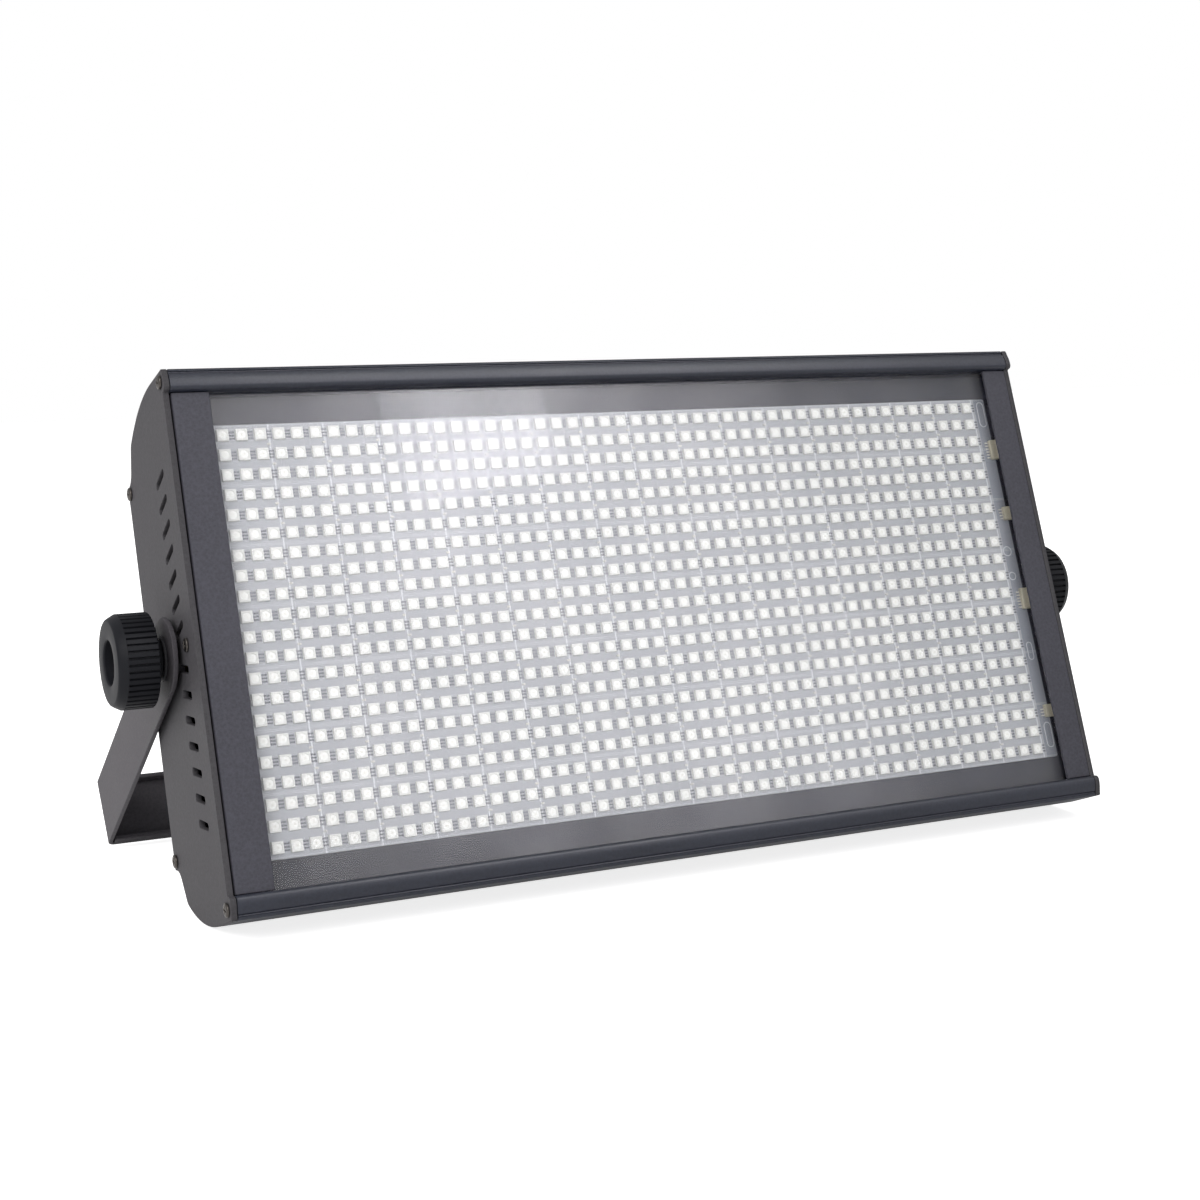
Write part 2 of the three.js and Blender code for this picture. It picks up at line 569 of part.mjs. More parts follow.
// The lamp board: one low block for each printed group of nine lamps, and the edge plugs on its right.
function lampBoard() {
  const board = box(-BOARD_WIDTH / 2, BOARD_WIDTH / 2, BOARD_FRONT, BOARD_FRONT + BOARD_THICKNESS,
    -BOARD_HEIGHT / 2, BOARD_HEIGHT / 2);
  const blockWidth = (LAMP_GROUP - 1) * LAMP_PITCH_X + LAMP_SIZE;
  const blockHeight = (LAMP_GROUP - 1) * LAMP_PITCH_Z + LAMP_SIZE;
  const columns = LAMP_COLUMNS / LAMP_GROUP;
  const rows = LAMP_ROWS / LAMP_GROUP;
  const blocks = [];
  for (let column = 0; column < columns; column++) {
    for (let row = 0; row < rows; row++) {
      const x = (column - (columns - 1) / 2) * LAMP_GROUP * LAMP_PITCH_X;
      const z = (row - (rows - 1) / 2) * LAMP_GROUP * LAMP_PITCH_Z;
      blocks.push(box(x - blockWidth / 2, x + blockWidth / 2, LAMP_DEPTH, BOARD_FRONT + LAMP_SINK,
        z - blockHeight / 2, z + blockHeight / 2));
    }
  }
  const right = BOARD_WIDTH / 2 - EDGE_PLUG.inset;
  const plugs = EDGE_PLUG_SHARES.map((share) => {
    const z = -(share * BOARD_HEIGHT) / 2;
    return box(right - EDGE_PLUG.width, right, BOARD_FRONT - EDGE_PLUG.depth / 2, BOARD_FRONT + LAMP_SINK,
      z - EDGE_PLUG.length / 2, z + EDGE_PLUG.length / 2);
  });
  return join(board, ...blocks, ...plugs);
}

// The tray behind the board, with a tab at each end for the end plate's middle screw.
function tray() {
  const height = HOUSING_HALF_HEIGHT - SHELL_WALL - SEAT;
  const sheet = box(-SHELL_END, SHELL_END, TRAY_FRONT, TRAY_BACK, -height, height);
  const parts = [];
  const bores = [];
  for (const side of [-1, 1]) {
    const near = side * (SHELL_END - TAB_WIDTH);
    const far = side * SHELL_END;
    parts.push(box(Math.min(near, far), Math.max(near, far), TAB_FRONT, TAB_FRONT + TAB_DEPTH,
      -TAB_HALF_HEIGHT, TAB_HALF_HEIGHT));
    const inside = side * (SHELL_END - SCREW_LENGTH - RUN);
    const outside = side * (SHELL_END + OVERRUN);
    bores.push(rodX(MIDDLE_SCREW_DEPTH, 0, SCREW_RADIUS + SEAT,
      Math.min(inside, outside), Math.max(inside, outside), SCREW_SIDES));
  }
  return cut(join(sheet, ...parts), ...bores);
}

// The height of the lower face of one of the heat sink's fins.
const finLow = (fin) =>
  (fin / (SINK_FIN_COUNT - 1)) * (SINK_HEIGHT - SINK_FIN_THICKNESS) - SINK_HEIGHT / 2;

// The heat sink's comb of fins, carried along x.
function heatSink() {
  const root = SINK_FRONT + SINK_BASE;
  const outline = [point(SINK_FRONT, finLow(0))];
  for (let fin = 0; fin < SINK_FIN_COUNT; fin++) {
    const top = finLow(fin) + SINK_FIN_THICKNESS;
    outline.push(point(SINK_BACK, finLow(fin)), point(SINK_BACK, top));
    if (fin < SINK_FIN_COUNT - 1) {
      outline.push(point(root, top), point(root, finLow(fin + 1)));
    }
  }
  outline.push(point(SINK_FRONT, SINK_HEIGHT / 2));
  return alongX(outline, -SINK_WIDTH / 2, SINK_WIDTH / 2);
}

// The slots of one fan grille, each as wide as the air way is at its height.
function grilleSlots(x) {
  const pitch = GRILLE_SLOT + GRILLE_BAR;
  const reach = Math.floor(FAN_BORE / pitch);
  const slots = [];
  for (let i = -reach; i <= reach; i++) {
    const edge = Math.abs(i) * pitch + GRILLE_SLOT / 2;
    if (edge < FAN_BORE) {
      const half = Math.sqrt(FAN_BORE ** 2 - edge ** 2);
      slots.push(rectangle(x - half, x + half, FAN_Z + i * pitch - GRILLE_SLOT / 2,
        FAN_Z + i * pitch + GRILLE_SLOT / 2));
    }
  }
  return slots;
}

const buttonX = (index) => CONSOLE_X + (index - (BUTTON_COUNT - 1) / 2) * BUTTON_PITCH;
const BUTTON_Z = CONSOLE_Z - BUTTON_DROP;

// The rear panel with every opening that its parts need.
function rearPanel() {
  const holes = [
    ...grilleSlots(-FAN_X),
    ...grilleSlots(FAN_X),
    rectangle(CONSOLE_X - BEZEL.width / 2 - SEAT, CONSOLE_X + BEZEL.width / 2 + SEAT,
      CONSOLE_Z - BEZEL.height / 2 - SEAT, CONSOLE_Z + BEZEL.height / 2 + SEAT),
    rectangle(INLET_X - INLET.width / 2 + INLET.flange, INLET_X + INLET.width / 2 - INLET.flange,
      CONNECTOR_Z - INLET.height / 2 + INLET.flange, CONNECTOR_Z + INLET.height / 2 - INLET.flange),
    circle(SIGNAL_IN_X, CONNECTOR_Z, SIGNAL.barrel + SEAT, ROUND_SMALL),
    circle(SIGNAL_OUT_X, CONNECTOR_Z, SIGNAL.barrel + SEAT, ROUND_SMALL),
  ];
  for (let i = 0; i < BUTTON_COUNT; i++) {
    holes.push(circle(buttonX(i), BUTTON_Z, BUTTON_RADIUS + RUN, ROUND_SMALL));
  }
  for (const side of [-1, 1]) {
    for (const up of [-1, 1]) {
      holes.push(circle(side * PANEL_SCREW_X, up * REAR_SCREW.height, SCREW_RADIUS + SEAT, SCREW_SIDES));
    }
  }
  return alongY(rectangle(-SHELL_END, SHELL_END, -PANEL_HALF_HEIGHT, PANEL_HALF_HEIGHT),
    PANEL_FRONT, PANEL_BACK, holes);
}

// A fan's square frame with the struts and the shaft that carry its rotor, centred on x = z = 0.
function fanFrame() {
  const back = BEHIND_PANEL;
  const front = back - FAN_DEPTH;
  const ring = alongY(rectangle(-FAN_SIZE / 2, FAN_SIZE / 2, -FAN_SIZE / 2, FAN_SIZE / 2), front, back,
    [circle(0, 0, FAN_BORE, ROUND)]);
  const hub = rodY(0, 0, FAN_HUB, front, front + FAN_STRUT_DEPTH, ROUND_SMALL);
  const shaft = rodY(0, 0, FAN_SHAFT, front, back - FAN_STRUT_DEPTH, SCREW_SIDES);
  const struts = Array.from({ length: FAN_STRUTS / 2 }, (_, i) => {
    const bar = new THREE.BoxGeometry(2 * FAN_BORE + OVERRUN, FAN_STRUT_DEPTH, FAN_STRUT_WIDTH);
    bar.rotateY(Math.PI / 4 + (i * Math.PI) / 2).translate(0, front + FAN_STRUT_DEPTH / 2, 0);
    return solid(bar);
  });
  return join(ring, hub, shaft, ...struts);
}

// A fan's rotor: a hub cup with pitched blades, running on the frame's shaft.
function fanRotor() {
  const front = BEHIND_PANEL - FAN_DEPTH + FAN_STRUT_DEPTH + SEAT;
  const back = BEHIND_PANEL - FAN_STRUT_DEPTH - SEAT;
  const hub = rodY(0, 0, FAN_HUB, front, back, ROUND_SMALL);
  const middle = (front + back) / 2;
  const tip = FAN_BORE - FAN_TIP_GAP;
  const root = FAN_HUB - FAN_TIP_GAP;
  const room = back - front - FAN_BLADE_THICKNESS * Math.sin(FAN_BLADE_PITCH);
  const chord = room / Math.cos(FAN_BLADE_PITCH);
  const blades = Array.from({ length: FAN_BLADES }, (_, i) => {
    const blade = new THREE.BoxGeometry(tip - root, chord, FAN_BLADE_THICKNESS);
    blade.rotateX(FAN_BLADE_PITCH).translate((tip + root) / 2, 0, 0);
    return solid(blade.rotateY((2 * Math.PI * i) / FAN_BLADES).translate(0, middle, 0));
  });
  const reach = rodY(0, 0, tip, front, back, ROUND);
  const bore = rodY(0, 0, FAN_SHAFT + RUN, front - OVERRUN, back + OVERRUN, SCREW_SIDES);
  return cut(join(...blades, hub).intersect(reach), bore);
}

// The mains inlet: flange, body, socket with three pins, and the chamber of the fuse drawer.
function powerInlet() {
  const flangeBack = PANEL_BACK + SEAT + INLET.flange;
  const flange = box(-INLET.width / 2, INLET.width / 2, PANEL_BACK + SEAT, flangeBack,
    -INLET.height / 2, INLET.height / 2);
  const rim = INLET.flange + SEAT;
  const body = box(-INLET.width / 2 + rim, INLET.width / 2 - rim, flangeBack - INLET.depth,
    flangeBack - INLET.flange / 2, -INLET.height / 2 + rim, INLET.height / 2 - rim);
  const mouth = flangeBack + OVERRUN;
  const socket = box(INLET_SOCKET.x - INLET_SOCKET.width / 2, INLET_SOCKET.x + INLET_SOCKET.width / 2,
    flangeBack - INLET_SOCKET.depth, mouth, -INLET_SOCKET.height / 2, INLET_SOCKET.height / 2);
  const chamber = box(DRAWER.x - DRAWER.width / 2 - RUN, DRAWER.x + DRAWER.width / 2 + RUN,
    flangeBack - DRAWER.depth - SEAT, mouth, -DRAWER.height / 2 - RUN, DRAWER.height / 2 + RUN);
  const pins = [-1, 0, 1].map((place) => {
    const x = INLET_SOCKET.x + place * INLET_PIN.pitch;
    const z = place === 0 ? INLET_PIN.drop : -INLET_PIN.drop;
    const root = flangeBack - INLET_SOCKET.depth;
    return box(x - INLET_PIN.width / 2, x + INLET_PIN.width / 2, root - OVERRUN, root + INLET_PIN.length,
      z - INLET_PIN.height / 2, z + INLET_PIN.height / 2);
  });
  return join(cut(join(flange, body), socket, chamber), ...pins);
}

// The fuse drawer, with a lip to pull it by.
function fuseDrawer() {
  const flangeBack = PANEL_BACK + SEAT + INLET.flange;
  const face = flangeBack + DRAWER.lipProud;
  const body = box(-DRAWER.width / 2, DRAWER.width / 2, flangeBack - DRAWER.depth, face,
    -DRAWER.height / 2, DRAWER.height / 2);
  const grip = box(-DRAWER.width / 2, DRAWER.width / 2, face - OVERRUN, face + DRAWER.lip,
    DRAWER.height / 2 - DRAWER.lip, DRAWER.height / 2);
  return join(body, grip);
}

const signalPins = (centreY, length, radius) =>
  Array.from({ length: SIGNAL_PIN.count }, (_, i) => {
    const angle = Math.PI / 2 + (2 * Math.PI * i) / SIGNAL_PIN.count;
    return rodY(SIGNAL_PIN.circle * Math.cos(angle), SIGNAL_PIN.circle * Math.sin(angle), radius,
      centreY, centreY + length, SCREW_SIDES);
  });

// The flange and barrel that both signal sockets share, centred on x = z = 0.
function signalBody() {
  const flangeBack = PANEL_BACK + SEAT + SIGNAL.flange;
  const flange = box(-SIGNAL.width / 2, SIGNAL.width / 2, PANEL_BACK + SEAT, flangeBack,
    -SIGNAL.height / 2, SIGNAL.height / 2);
  return join(flange, rodY(0, 0, SIGNAL.barrel, flangeBack - SIGNAL.depth, flangeBack - SIGNAL.flange / 2,
    ROUND_SMALL));
}

// The signal input: a round cup with three pins.
function signalIn() {
  const mouth = PANEL_BACK + SEAT + SIGNAL.flange;
  const cup = rodY(0, 0, SIGNAL_CUP.radius, mouth - SIGNAL_CUP.depth, mouth + OVERRUN, ROUND_SMALL);
  const root = mouth - SIGNAL_CUP.depth - OVERRUN;
  const pins = signalPins(root, SIGNAL_PIN.length + OVERRUN, SIGNAL_PIN.radius);
  return join(cut(signalBody(), cup), ...pins);
}

// The signal output: a raised round face with three small holes and the window of its latch.
function signalOut() {
  const mouth = PANEL_BACK + SEAT + SIGNAL.flange;
  const face = rodY(0, 0, SIGNAL_CUP.radius, mouth - SIGNAL.flange / 2, mouth + SIGNAL_FACE_PROUD);
  const holes = signalPins(mouth - SIGNAL_PIN.length, SIGNAL_PIN.length + SIGNAL_FACE_PROUD + OVERRUN,
    SIGNAL_PIN.radius);
  const top = SIGNAL.height / 2;
  const floor = top - LATCH.height - LATCH_TRAVEL - RUN - SEAT;
  const window = box(-LATCH.width / 2 - RUN, LATCH.width / 2 + RUN, mouth - SIGNAL.flange - OVERRUN,
    mouth + OVERRUN, floor, top + OVERRUN);
  return cut(join(signalBody(), face), ...holes, window);
}

// The latch's push tab, standing a little proud of the flange.
const signalLatch = () => {
  const mouth = PANEL_BACK + SEAT + SIGNAL.flange;
  const top = SIGNAL.height / 2 - RUN;
  return box(-LATCH.width / 2, LATCH.width / 2, mouth - SIGNAL.flange, mouth + LATCH.proud,
    top - LATCH.height, top);
};

// The safety eye: half a ring on a base plate, open along x.
function safetyEye() {
  const seat = PANEL_BACK + SEAT;
  const base = box(-EYE.baseWidth / 2, EYE.baseWidth / 2, seat, seat + EYE.base,
    -EYE.baseHeight / 2, EYE.baseHeight / 2);
  const path = new THREE.CatmullRomCurve3(
    arc(seat + EYE.base / 2, 0, EYE.radius, -Math.PI / 2, Math.PI / 2, ARC_STEPS)
      .map((p) => new THREE.Vector3(0, p.x, p.y)),
  );
  const section = new THREE.Shape(circle(0, 0, EYE.wire, ARC_STEPS));
  const sweep = { steps: 2 * ARC_STEPS, extrudePath: path, bevelEnabled: false };
  const ring = new THREE.ExtrudeGeometry(section, sweep);
  const room = box(-EYE.baseWidth, EYE.baseWidth, seat, seat + 2 * EYE.radius + EYE.wire,
    -EYE.baseHeight, EYE.baseHeight);
  return join(base, solid(ring).intersect(room));
}

// The control board on its standoffs, with the display's block and a switch under each button.
function controlBoard() {
  const b = CONTROL_BOARD;
  const back = b.depth + b.thickness;
  const board = box(CONSOLE_X - b.width / 2, CONSOLE_X + b.width / 2, b.depth, back,
    CONSOLE_Z - b.height / 2, CONSOLE_Z + b.height / 2);
  const display = box(CONSOLE_X - BEZEL.width / 2 + DISPLAY_BLOCK_INSET,
    CONSOLE_X + BEZEL.width / 2 - DISPLAY_BLOCK_INSET, back - b.thickness / 2,
    PANEL_BACK + BEZEL_PROUD - WINDOW_DEPTH - SEAT,
    CONSOLE_Z - BEZEL.height / 2 + DISPLAY_BLOCK_INSET, CONSOLE_Z + BEZEL.height / 2 - DISPLAY_BLOCK_INSET);
  const switches = Array.from({ length: BUTTON_COUNT }, (_, i) =>
    rodY(buttonX(i), BUTTON_Z, BUTTON_RADIUS, b.depth, buttonFront() - BUTTON_TRAVEL - SEAT, SCREW_SIDES));
  const pegs = [-1, 1].map((side) =>
    rodY(CONSOLE_X + side * (b.width / 2 - STANDOFF_INSET), CONSOLE_Z + b.height / 2 - STANDOFF_INSET,
      STANDOFF_RADIUS, b.depth, BEHIND_PANEL, SCREW_SIDES));
  const apron = box(CONSOLE_X - b.width / 2, CONSOLE_X + b.width / 2, b.depth, back,
    BUTTON_Z - BUTTON_RADIUS - BUTTON_FLANGE, CONSOLE_Z);
  return join(board, apron, display, ...switches, ...pegs);
}

const displayWindow = () => box(CONSOLE_X - BEZEL.width / 2, CONSOLE_X + BEZEL.width / 2,
  PANEL_BACK + BEZEL_PROUD - WINDOW_DEPTH, PANEL_BACK + BEZEL_PROUD,
  CONSOLE_Z - BEZEL.height / 2, CONSOLE_Z + BEZEL.height / 2);

// Where a menu button's inner end is at rest.
function buttonFront() {
  return BEHIND_PANEL - 2 * BUTTON_FLANGE;
}

// A menu button with the flange that keeps it behind the panel, about its own axis.
function menuButton() {
  const flange = rodY(0, 0, BUTTON_RADIUS + BUTTON_FLANGE, buttonFront(), BEHIND_PANEL, ROUND_SMALL);
  return join(flange, rodY(0, 0, BUTTON_RADIUS, buttonFront(), PANEL_BACK + BUTTON_PROUD, ROUND_SMALL));
}

// The power supply, in the room between the inlet, the control board, the lower ear and a fan.
function powerSupply() {
  const left = INLET_X + INLET.width / 2 + SUPPLY.inletGap;
  const right = CONSOLE_X - CONTROL_BOARD.width / 2 - SUPPLY.boardGap;
  const high = FAN_Z - FAN_SIZE / 2 - SUPPLY.fanGap;
  return box(left, right, BEHIND_PANEL - SUPPLY.depth, BEHIND_PANEL, SUPPLY.rise - EAR_BOTTOM, high);
}

// The lamp driver board on pegs that stand on the heat sink's fins.
function driverBoard() {
  const front = SINK_BACK + DRIVER.gap;
  const back = front + DRIVER.thickness;
  const x = SINK_WIDTH / 2 - DRIVER.inset - DRIVER.width / 2;
  const pegRows = DRIVER_FIN_COUNTS.map((fin) => finLow(fin) + SINK_FIN_THICKNESS / 2);
  const low = Math.min(...pegRows) - DRIVER.margin;
  const high = Math.max(...pegRows) + DRIVER.margin;
  const board = box(x - DRIVER.width / 2, x + DRIVER.width / 2, front, back, low, high);
  const pitch = DRIVER.width / DRIVER_CHIP.count;
  const chips = Array.from({ length: DRIVER_CHIP.count }, (_, i) => {
    const middle = x + (i - (DRIVER_CHIP.count - 1) / 2) * pitch;
    const top = high - STANDOFF_INSET;
    return box(middle - DRIVER_CHIP.size / 2, middle + DRIVER_CHIP.size / 2,
      front, back + DRIVER_CHIP.height, top - DRIVER_CHIP.size, top);
  });
  const pegs = [];
  for (const side of [-1, 1]) {
    for (const height of pegRows) {
      pegs.push(rodY(x + side * (DRIVER.width / 2 - STANDOFF_INSET), height, STANDOFF_RADIUS,
        SINK_BACK + SEAT, back, SCREW_SIDES));
    }
  }
  return join(board, ...chips, ...pegs);
}

// Distances from the end plate's outer face, along a stud's axis
const CLAMP_WASHER_FROM = ARM_STANDOFF + YOKE_THICKNESS + SEAT;
const CLAMP_WASHER_TO = CLAMP_WASHER_FROM + CLAMP_WASHER_THICKNESS;
const NECK_FROM = CLAMP_WASHER_TO + SEAT;
const RIBS_FROM = NECK_FROM + NECK_LENGTH;
const RIBS_TO = RIBS_FROM + KNOB_LENGTH;
const KNOB_TO = RIBS_TO + KNOB_CHAMFER_LENGTH;

// A flat ring along +x.
const ring = (inner, outer, from, to, sides = ROUND) => turnedX([
  point(inner, from), point(outer, from), point(outer, to), point(inner, to), point(inner, from),
], sides);

// The clamp knob: ribs trimmed by a chamfered envelope, a neck, a recess and the stud's blind hole.
function clampKnob() {
  const crest = KNOB_RADIUS;
  const valley = KNOB_RADIUS - RIB_HEIGHT;
  const pitch = (2 * Math.PI) / RIB_COUNT;
  const star = [];
  for (let rib = 0; rib < RIB_COUNT; rib++) {
    for (const [radius, share] of [[valley, 0], [crest, (1 - RIB_CREST_SHARE) / 2],
      [crest, (1 + RIB_CREST_SHARE) / 2]]) {
      const angle = (rib + share) * pitch;
      star.push(point(radius * Math.cos(angle), radius * Math.sin(angle)));
    }
  }
  const ribs = alongX(star, RIBS_FROM, KNOB_TO);
  const envelope = turnedX([
    point(0, RIBS_FROM),
    point(KNOB_RADIUS + OVERRUN, RIBS_FROM),
    point(KNOB_RADIUS + OVERRUN, RIBS_TO - OVERRUN),
    point(KNOB_RADIUS, RIBS_TO),
    point(KNOB_FACE_RADIUS, KNOB_TO),
    point(0, KNOB_TO),
  ], ROUND);
  const neck = rodX(0, 0, NECK_RADIUS, NECK_FROM, RIBS_FROM + OVERRUN, ROUND);
  const recess = rodX(0, 0, KNOB_RECESS_RADIUS, KNOB_TO - KNOB_RECESS_DEPTH, KNOB_TO + OVERRUN, ROUND);
  const bore = rodX(0, 0, STUD_RADIUS + SEAT, NECK_FROM - OVERRUN, NECK_FROM + STUD_GRIP + SEAT);
  return cut(join(ribs.intersect(envelope), neck), recess, bore);
}

const stud = () => rodX(0, 0, STUD_RADIUS, -PLATE_THICKNESS - INSERT.length, NECK_FROM + STUD_GRIP);

// The threaded insert behind the end plate, with a flange against it.
const clampInsert = () => turnedX([
  point(STUD_RADIUS + RUN, -PLATE_THICKNESS - SEAT),
  point(STUD_RADIUS + RUN, -PLATE_THICKNESS - INSERT.length),
  point(INSERT.radius, -PLATE_THICKNESS - INSERT.length),
  point(INSERT.radius, -PLATE_THICKNESS - SEAT - INSERT.flangeThickness),
  point(INSERT.flange, -PLATE_THICKNESS - SEAT - INSERT.flangeThickness),
  point(INSERT.flange, -PLATE_THICKNESS - SEAT),
  point(STUD_RADIUS + RUN, -PLATE_THICKNESS - SEAT),
], ROUND_SMALL);

// The pieces on one stud's axis, made for the right side and turned half round for the left.
function clampStack(side) {
  const label = side > 0 ? "right" : "left";
  const stack = new THREE.Group();
  stack.position.set(side * HOUSING_END, STUD_DEPTH, 0);
  stack.rotation.z = side > 0 ? 0 : Math.PI;
  stack.add(
    piece(label + "_clamp_knob", BLACK_PLASTIC, clampKnob()),
    piece(label + "_clamp_stud", ZINC_STEEL, stud()),
    piece(label + "_clamp_insert", BRASS, clampInsert()),
    piece(label + "_clamp_washer", ZINC_STEEL,
      ring(STUD_RADIUS + RUN, CLAMP_WASHER_RADIUS, CLAMP_WASHER_FROM, CLAMP_WASHER_TO)),
    piece(label + "_friction_washer", RUBBER,
      ring(STUD_RADIUS + RUN, FRICTION_WASHER_RADIUS, SEAT, ARM_STANDOFF - SEAT)),
  );
  return stack;
}

// The yoke: a bent strip with round arm ends, two flanges along its bar, and its holes.
function yoke() {
  const t = YOKE_THICKNESS;
  const end = ARM_END_OFFSET + YOKE_HALF_WIDTH;
  const bend = YOKE_BEND_RADIUS;
  const centre = point(ARM_OUTER - bend, YOKE_LENGTH - bend);
  const outer = [
    point(ARM_OUTER, -end),
    ...arc(centre.x, centre.y, bend, 0, Math.PI / 2, CORNER_STEPS),
  ];
  const inner = [
    point(ARM_INNER, -end),
    ...arc(centre.x, centre.y, bend - t, 0, Math.PI / 2, CORNER_STEPS),
  ];
  const both = (points) => [...points, ...points.map((p) => point(-p.x, p.y)).reverse()];
  const strip = alongZ([...both(outer), ...both(inner).reverse()], -YOKE_HALF_WIDTH, YOKE_HALF_WIDTH);
  const sideView = [
    ...arc(-ARM_END_OFFSET, 0, YOKE_HALF_WIDTH, Math.PI / 2, 1.5 * Math.PI, 2 * ARC_STEPS),
    point(YOKE_LENGTH + OVERRUN, -YOKE_HALF_WIDTH),
    point(YOKE_LENGTH + OVERRUN, YOKE_HALF_WIDTH),
  ];
  const trim = alongX(sideView, -ARM_OUTER - OVERRUN, ARM_OUTER + OVERRUN);
  const flanges = [-1, 1].map((side) => {
    const edge = side * YOKE_HALF_WIDTH;
    const inner = side * (YOKE_HALF_WIDTH - t);
    return box(-ARM_INNER - t / 2, ARM_INNER + t / 2, YOKE_LENGTH - BAR_FLANGE, YOKE_LENGTH - t / 2,
      Math.min(edge, inner), Math.max(edge, inner));
  });
  const pivots = rodX(0, 0, STUD_RADIUS + RUN, -ARM_OUTER - OVERRUN, ARM_OUTER + OVERRUN);
  const from = YOKE_LENGTH - t - OVERRUN;
  const to = YOKE_LENGTH + OVERRUN;
  const barHoles = [
    rodY(0, 0, BAR_HOLE_RADIUS, from, to),
    ...[-1, 1].map((side) => rodY(side * BAR_SIDE_HOLE_X, 0, BAR_SIDE_HOLE_RADIUS, from, to)),
  ];
  return cut(join(strip.intersect(trim), ...flanges), pivots, ...barHoles);
}

// The housing and all that it carries
function housing() {
  const group = new THREE.Group();
  group.add(
    piece("left_end_plate", SIDE_POWDER_COAT, endPlate(-1)),
    piece("right_end_plate", SIDE_POWDER_COAT, endPlate(1)),
    piece("top_shell", BLACK_POWDER_COAT, shell(1)),
    piece("bottom_shell", BLACK_POWDER_COAT, shell(-1)),
    piece("rear_panel", BLACK_POWDER_COAT, rearPanel()),
    piece("left_filler_strip", BLACK_POWDER_COAT, filler(-1)),
    piece("right_filler_strip", BLACK_POWDER_COAT, filler(1)),
    piece("front_glass", CLEAR_GLASS, glass()),
    piece("top_glass_cushion", RUBBER, cushion(1)),
    piece("bottom_glass_cushion", RUBBER, cushion(-1)),
    piece("lamp_board", WHITE_BOARD, lampBoard()),
    piece("lamp_tray", BLACK_POWDER_COAT, tray()),
    piece("heat_sink", BARE_ALUMINIUM, heatSink()),
    piece("driver_board", GREEN_BOARD, driverBoard()),
    piece("control_board", GREEN_BOARD, controlBoard()),
    piece("power_supply", BARE_ALUMINIUM, powerSupply()),
    piece("display_window", DARK_WINDOW, displayWindow()),
    clampStack(-1),
    clampStack(1),
  );
  for (const [label, side] of [["left", -1], ["right", 1]]) {
    for (const [level, up] of [["top", 1], ["bottom", -1]]) {
      for (const [place, screw] of [["front", FRONT_SCREW], ["rear", REAR_SCREW]]) {
        const name = [label, place, level, "screw"].join("_");
        group.add(plateScrew(name, side, screw.depth, up * screw.height));
      }
      const panelName = ["panel", label, level, "screw"].join("_");
      group.add(panelScrew(panelName, side * PANEL_SCREW_X, up * REAR_SCREW.height));
    }
    group.add(plateScrew(label + "_middle_screw", side, MIDDLE_SCREW_DEPTH, 0));
    group.add(placed(piece(label + "_fan_frame", BLACK_PLASTIC, fanFrame()), side * FAN_X, FAN_Z));
    group.add(placed(piece(label + "_fan_rotor", BLACK_PLASTIC, fanRotor()), side * FAN_X, FAN_Z));
  }
  for (let i = 0; i < BUTTON_COUNT; i++) {
    group.add(placed(piece("menu_button_" + (i + 1), BLACK_PLASTIC, menuButton()), buttonX(i), BUTTON_Z));
  }
  group.add(
    placed(piece("power_inlet", BLACK_PLASTIC, powerInlet()), INLET_X, CONNECTOR_Z),
    placed(piece("fuse_drawer", BLACK_PLASTIC, fuseDrawer()), INLET_X + DRAWER.x, CONNECTOR_Z),
    placed(piece("signal_in_socket", BLACK_PLASTIC, signalIn()), SIGNAL_IN_X, CONNECTOR_Z),
    placed(piece("signal_out_socket", BLACK_PLASTIC, signalOut()), SIGNAL_OUT_X, CONNECTOR_Z),
    placed(piece("signal_latch", ZINC_STEEL, signalLatch()), SIGNAL_OUT_X, CONNECTOR_Z),
    placed(piece("safety_eye", ZINC_STEEL, safetyEye()), EYE_X, EYE_Z),
  );
  return group;
}

function placed(mesh, x, z) {
  mesh.position.x = x;
  mesh.position.z = z;
  return mesh;
}

// How far below horizontal the arms lie when the housing and the yoke's bar both meet the floor.
function armAngle(studHeight) {
  const reach = Math.hypot(YOKE_LENGTH, YOKE_HALF_WIDTH);
  return Math.asin(studHeight / reach) - Math.atan2(YOKE_HALF_WIDTH, YOKE_LENGTH);
}

// The whole light, leaning back on the curve of its bottom shell and the edge of its yoke
const light = new THREE.Group();
const body = housing();
body.rotation.x = -HOUSING_TILT;
const contactHeight = (HOUSING_HALF_HEIGHT - ROOF_RADIUS) * Math.cos(HOUSING_TILT)
  + ROOF_FLAT_DEPTH * Math.sin(HOUSING_TILT) + ROOF_RADIUS;
const studHeight = contactHeight - STUD_DEPTH * Math.sin(HOUSING_TILT);
const stand = new THREE.Group();
stand.add(piece("yoke", SIDE_POWDER_COAT, yoke()));
stand.position.set(0, STUD_DEPTH * Math.cos(HOUSING_TILT), -STUD_DEPTH * Math.sin(HOUSING_TILT));
stand.rotation.x = -armAngle(studHeight);
light.add(body, stand);

// The origin lies on the floor, under the middle of the whole light
const extent = new THREE.Box3().setFromObject(light, true);
const middle = extent.getCenter(new THREE.Vector3());
light.position.set(-middle.x, -middle.y, -extent.min.z);

const strobeLight = new THREE.Group();
strobeLight.add(light);

export default strobeLight;
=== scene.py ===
"""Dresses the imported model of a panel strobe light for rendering.

Shapes are worked out in millimetres beside the leaning housing or the yoke, where x is to the right,
y is the depth and z is the height, and a Place carries them into the row frame in metres.
"""

import logging
import math
from dataclasses import dataclass, field
from enum import Enum

import bpy
import numpy as np
from bpy.types import Material, Mesh, Node, NodeSocket, NodeTree, Object, Scene
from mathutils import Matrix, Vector
from mathutils.geometry import tessellate_polygon

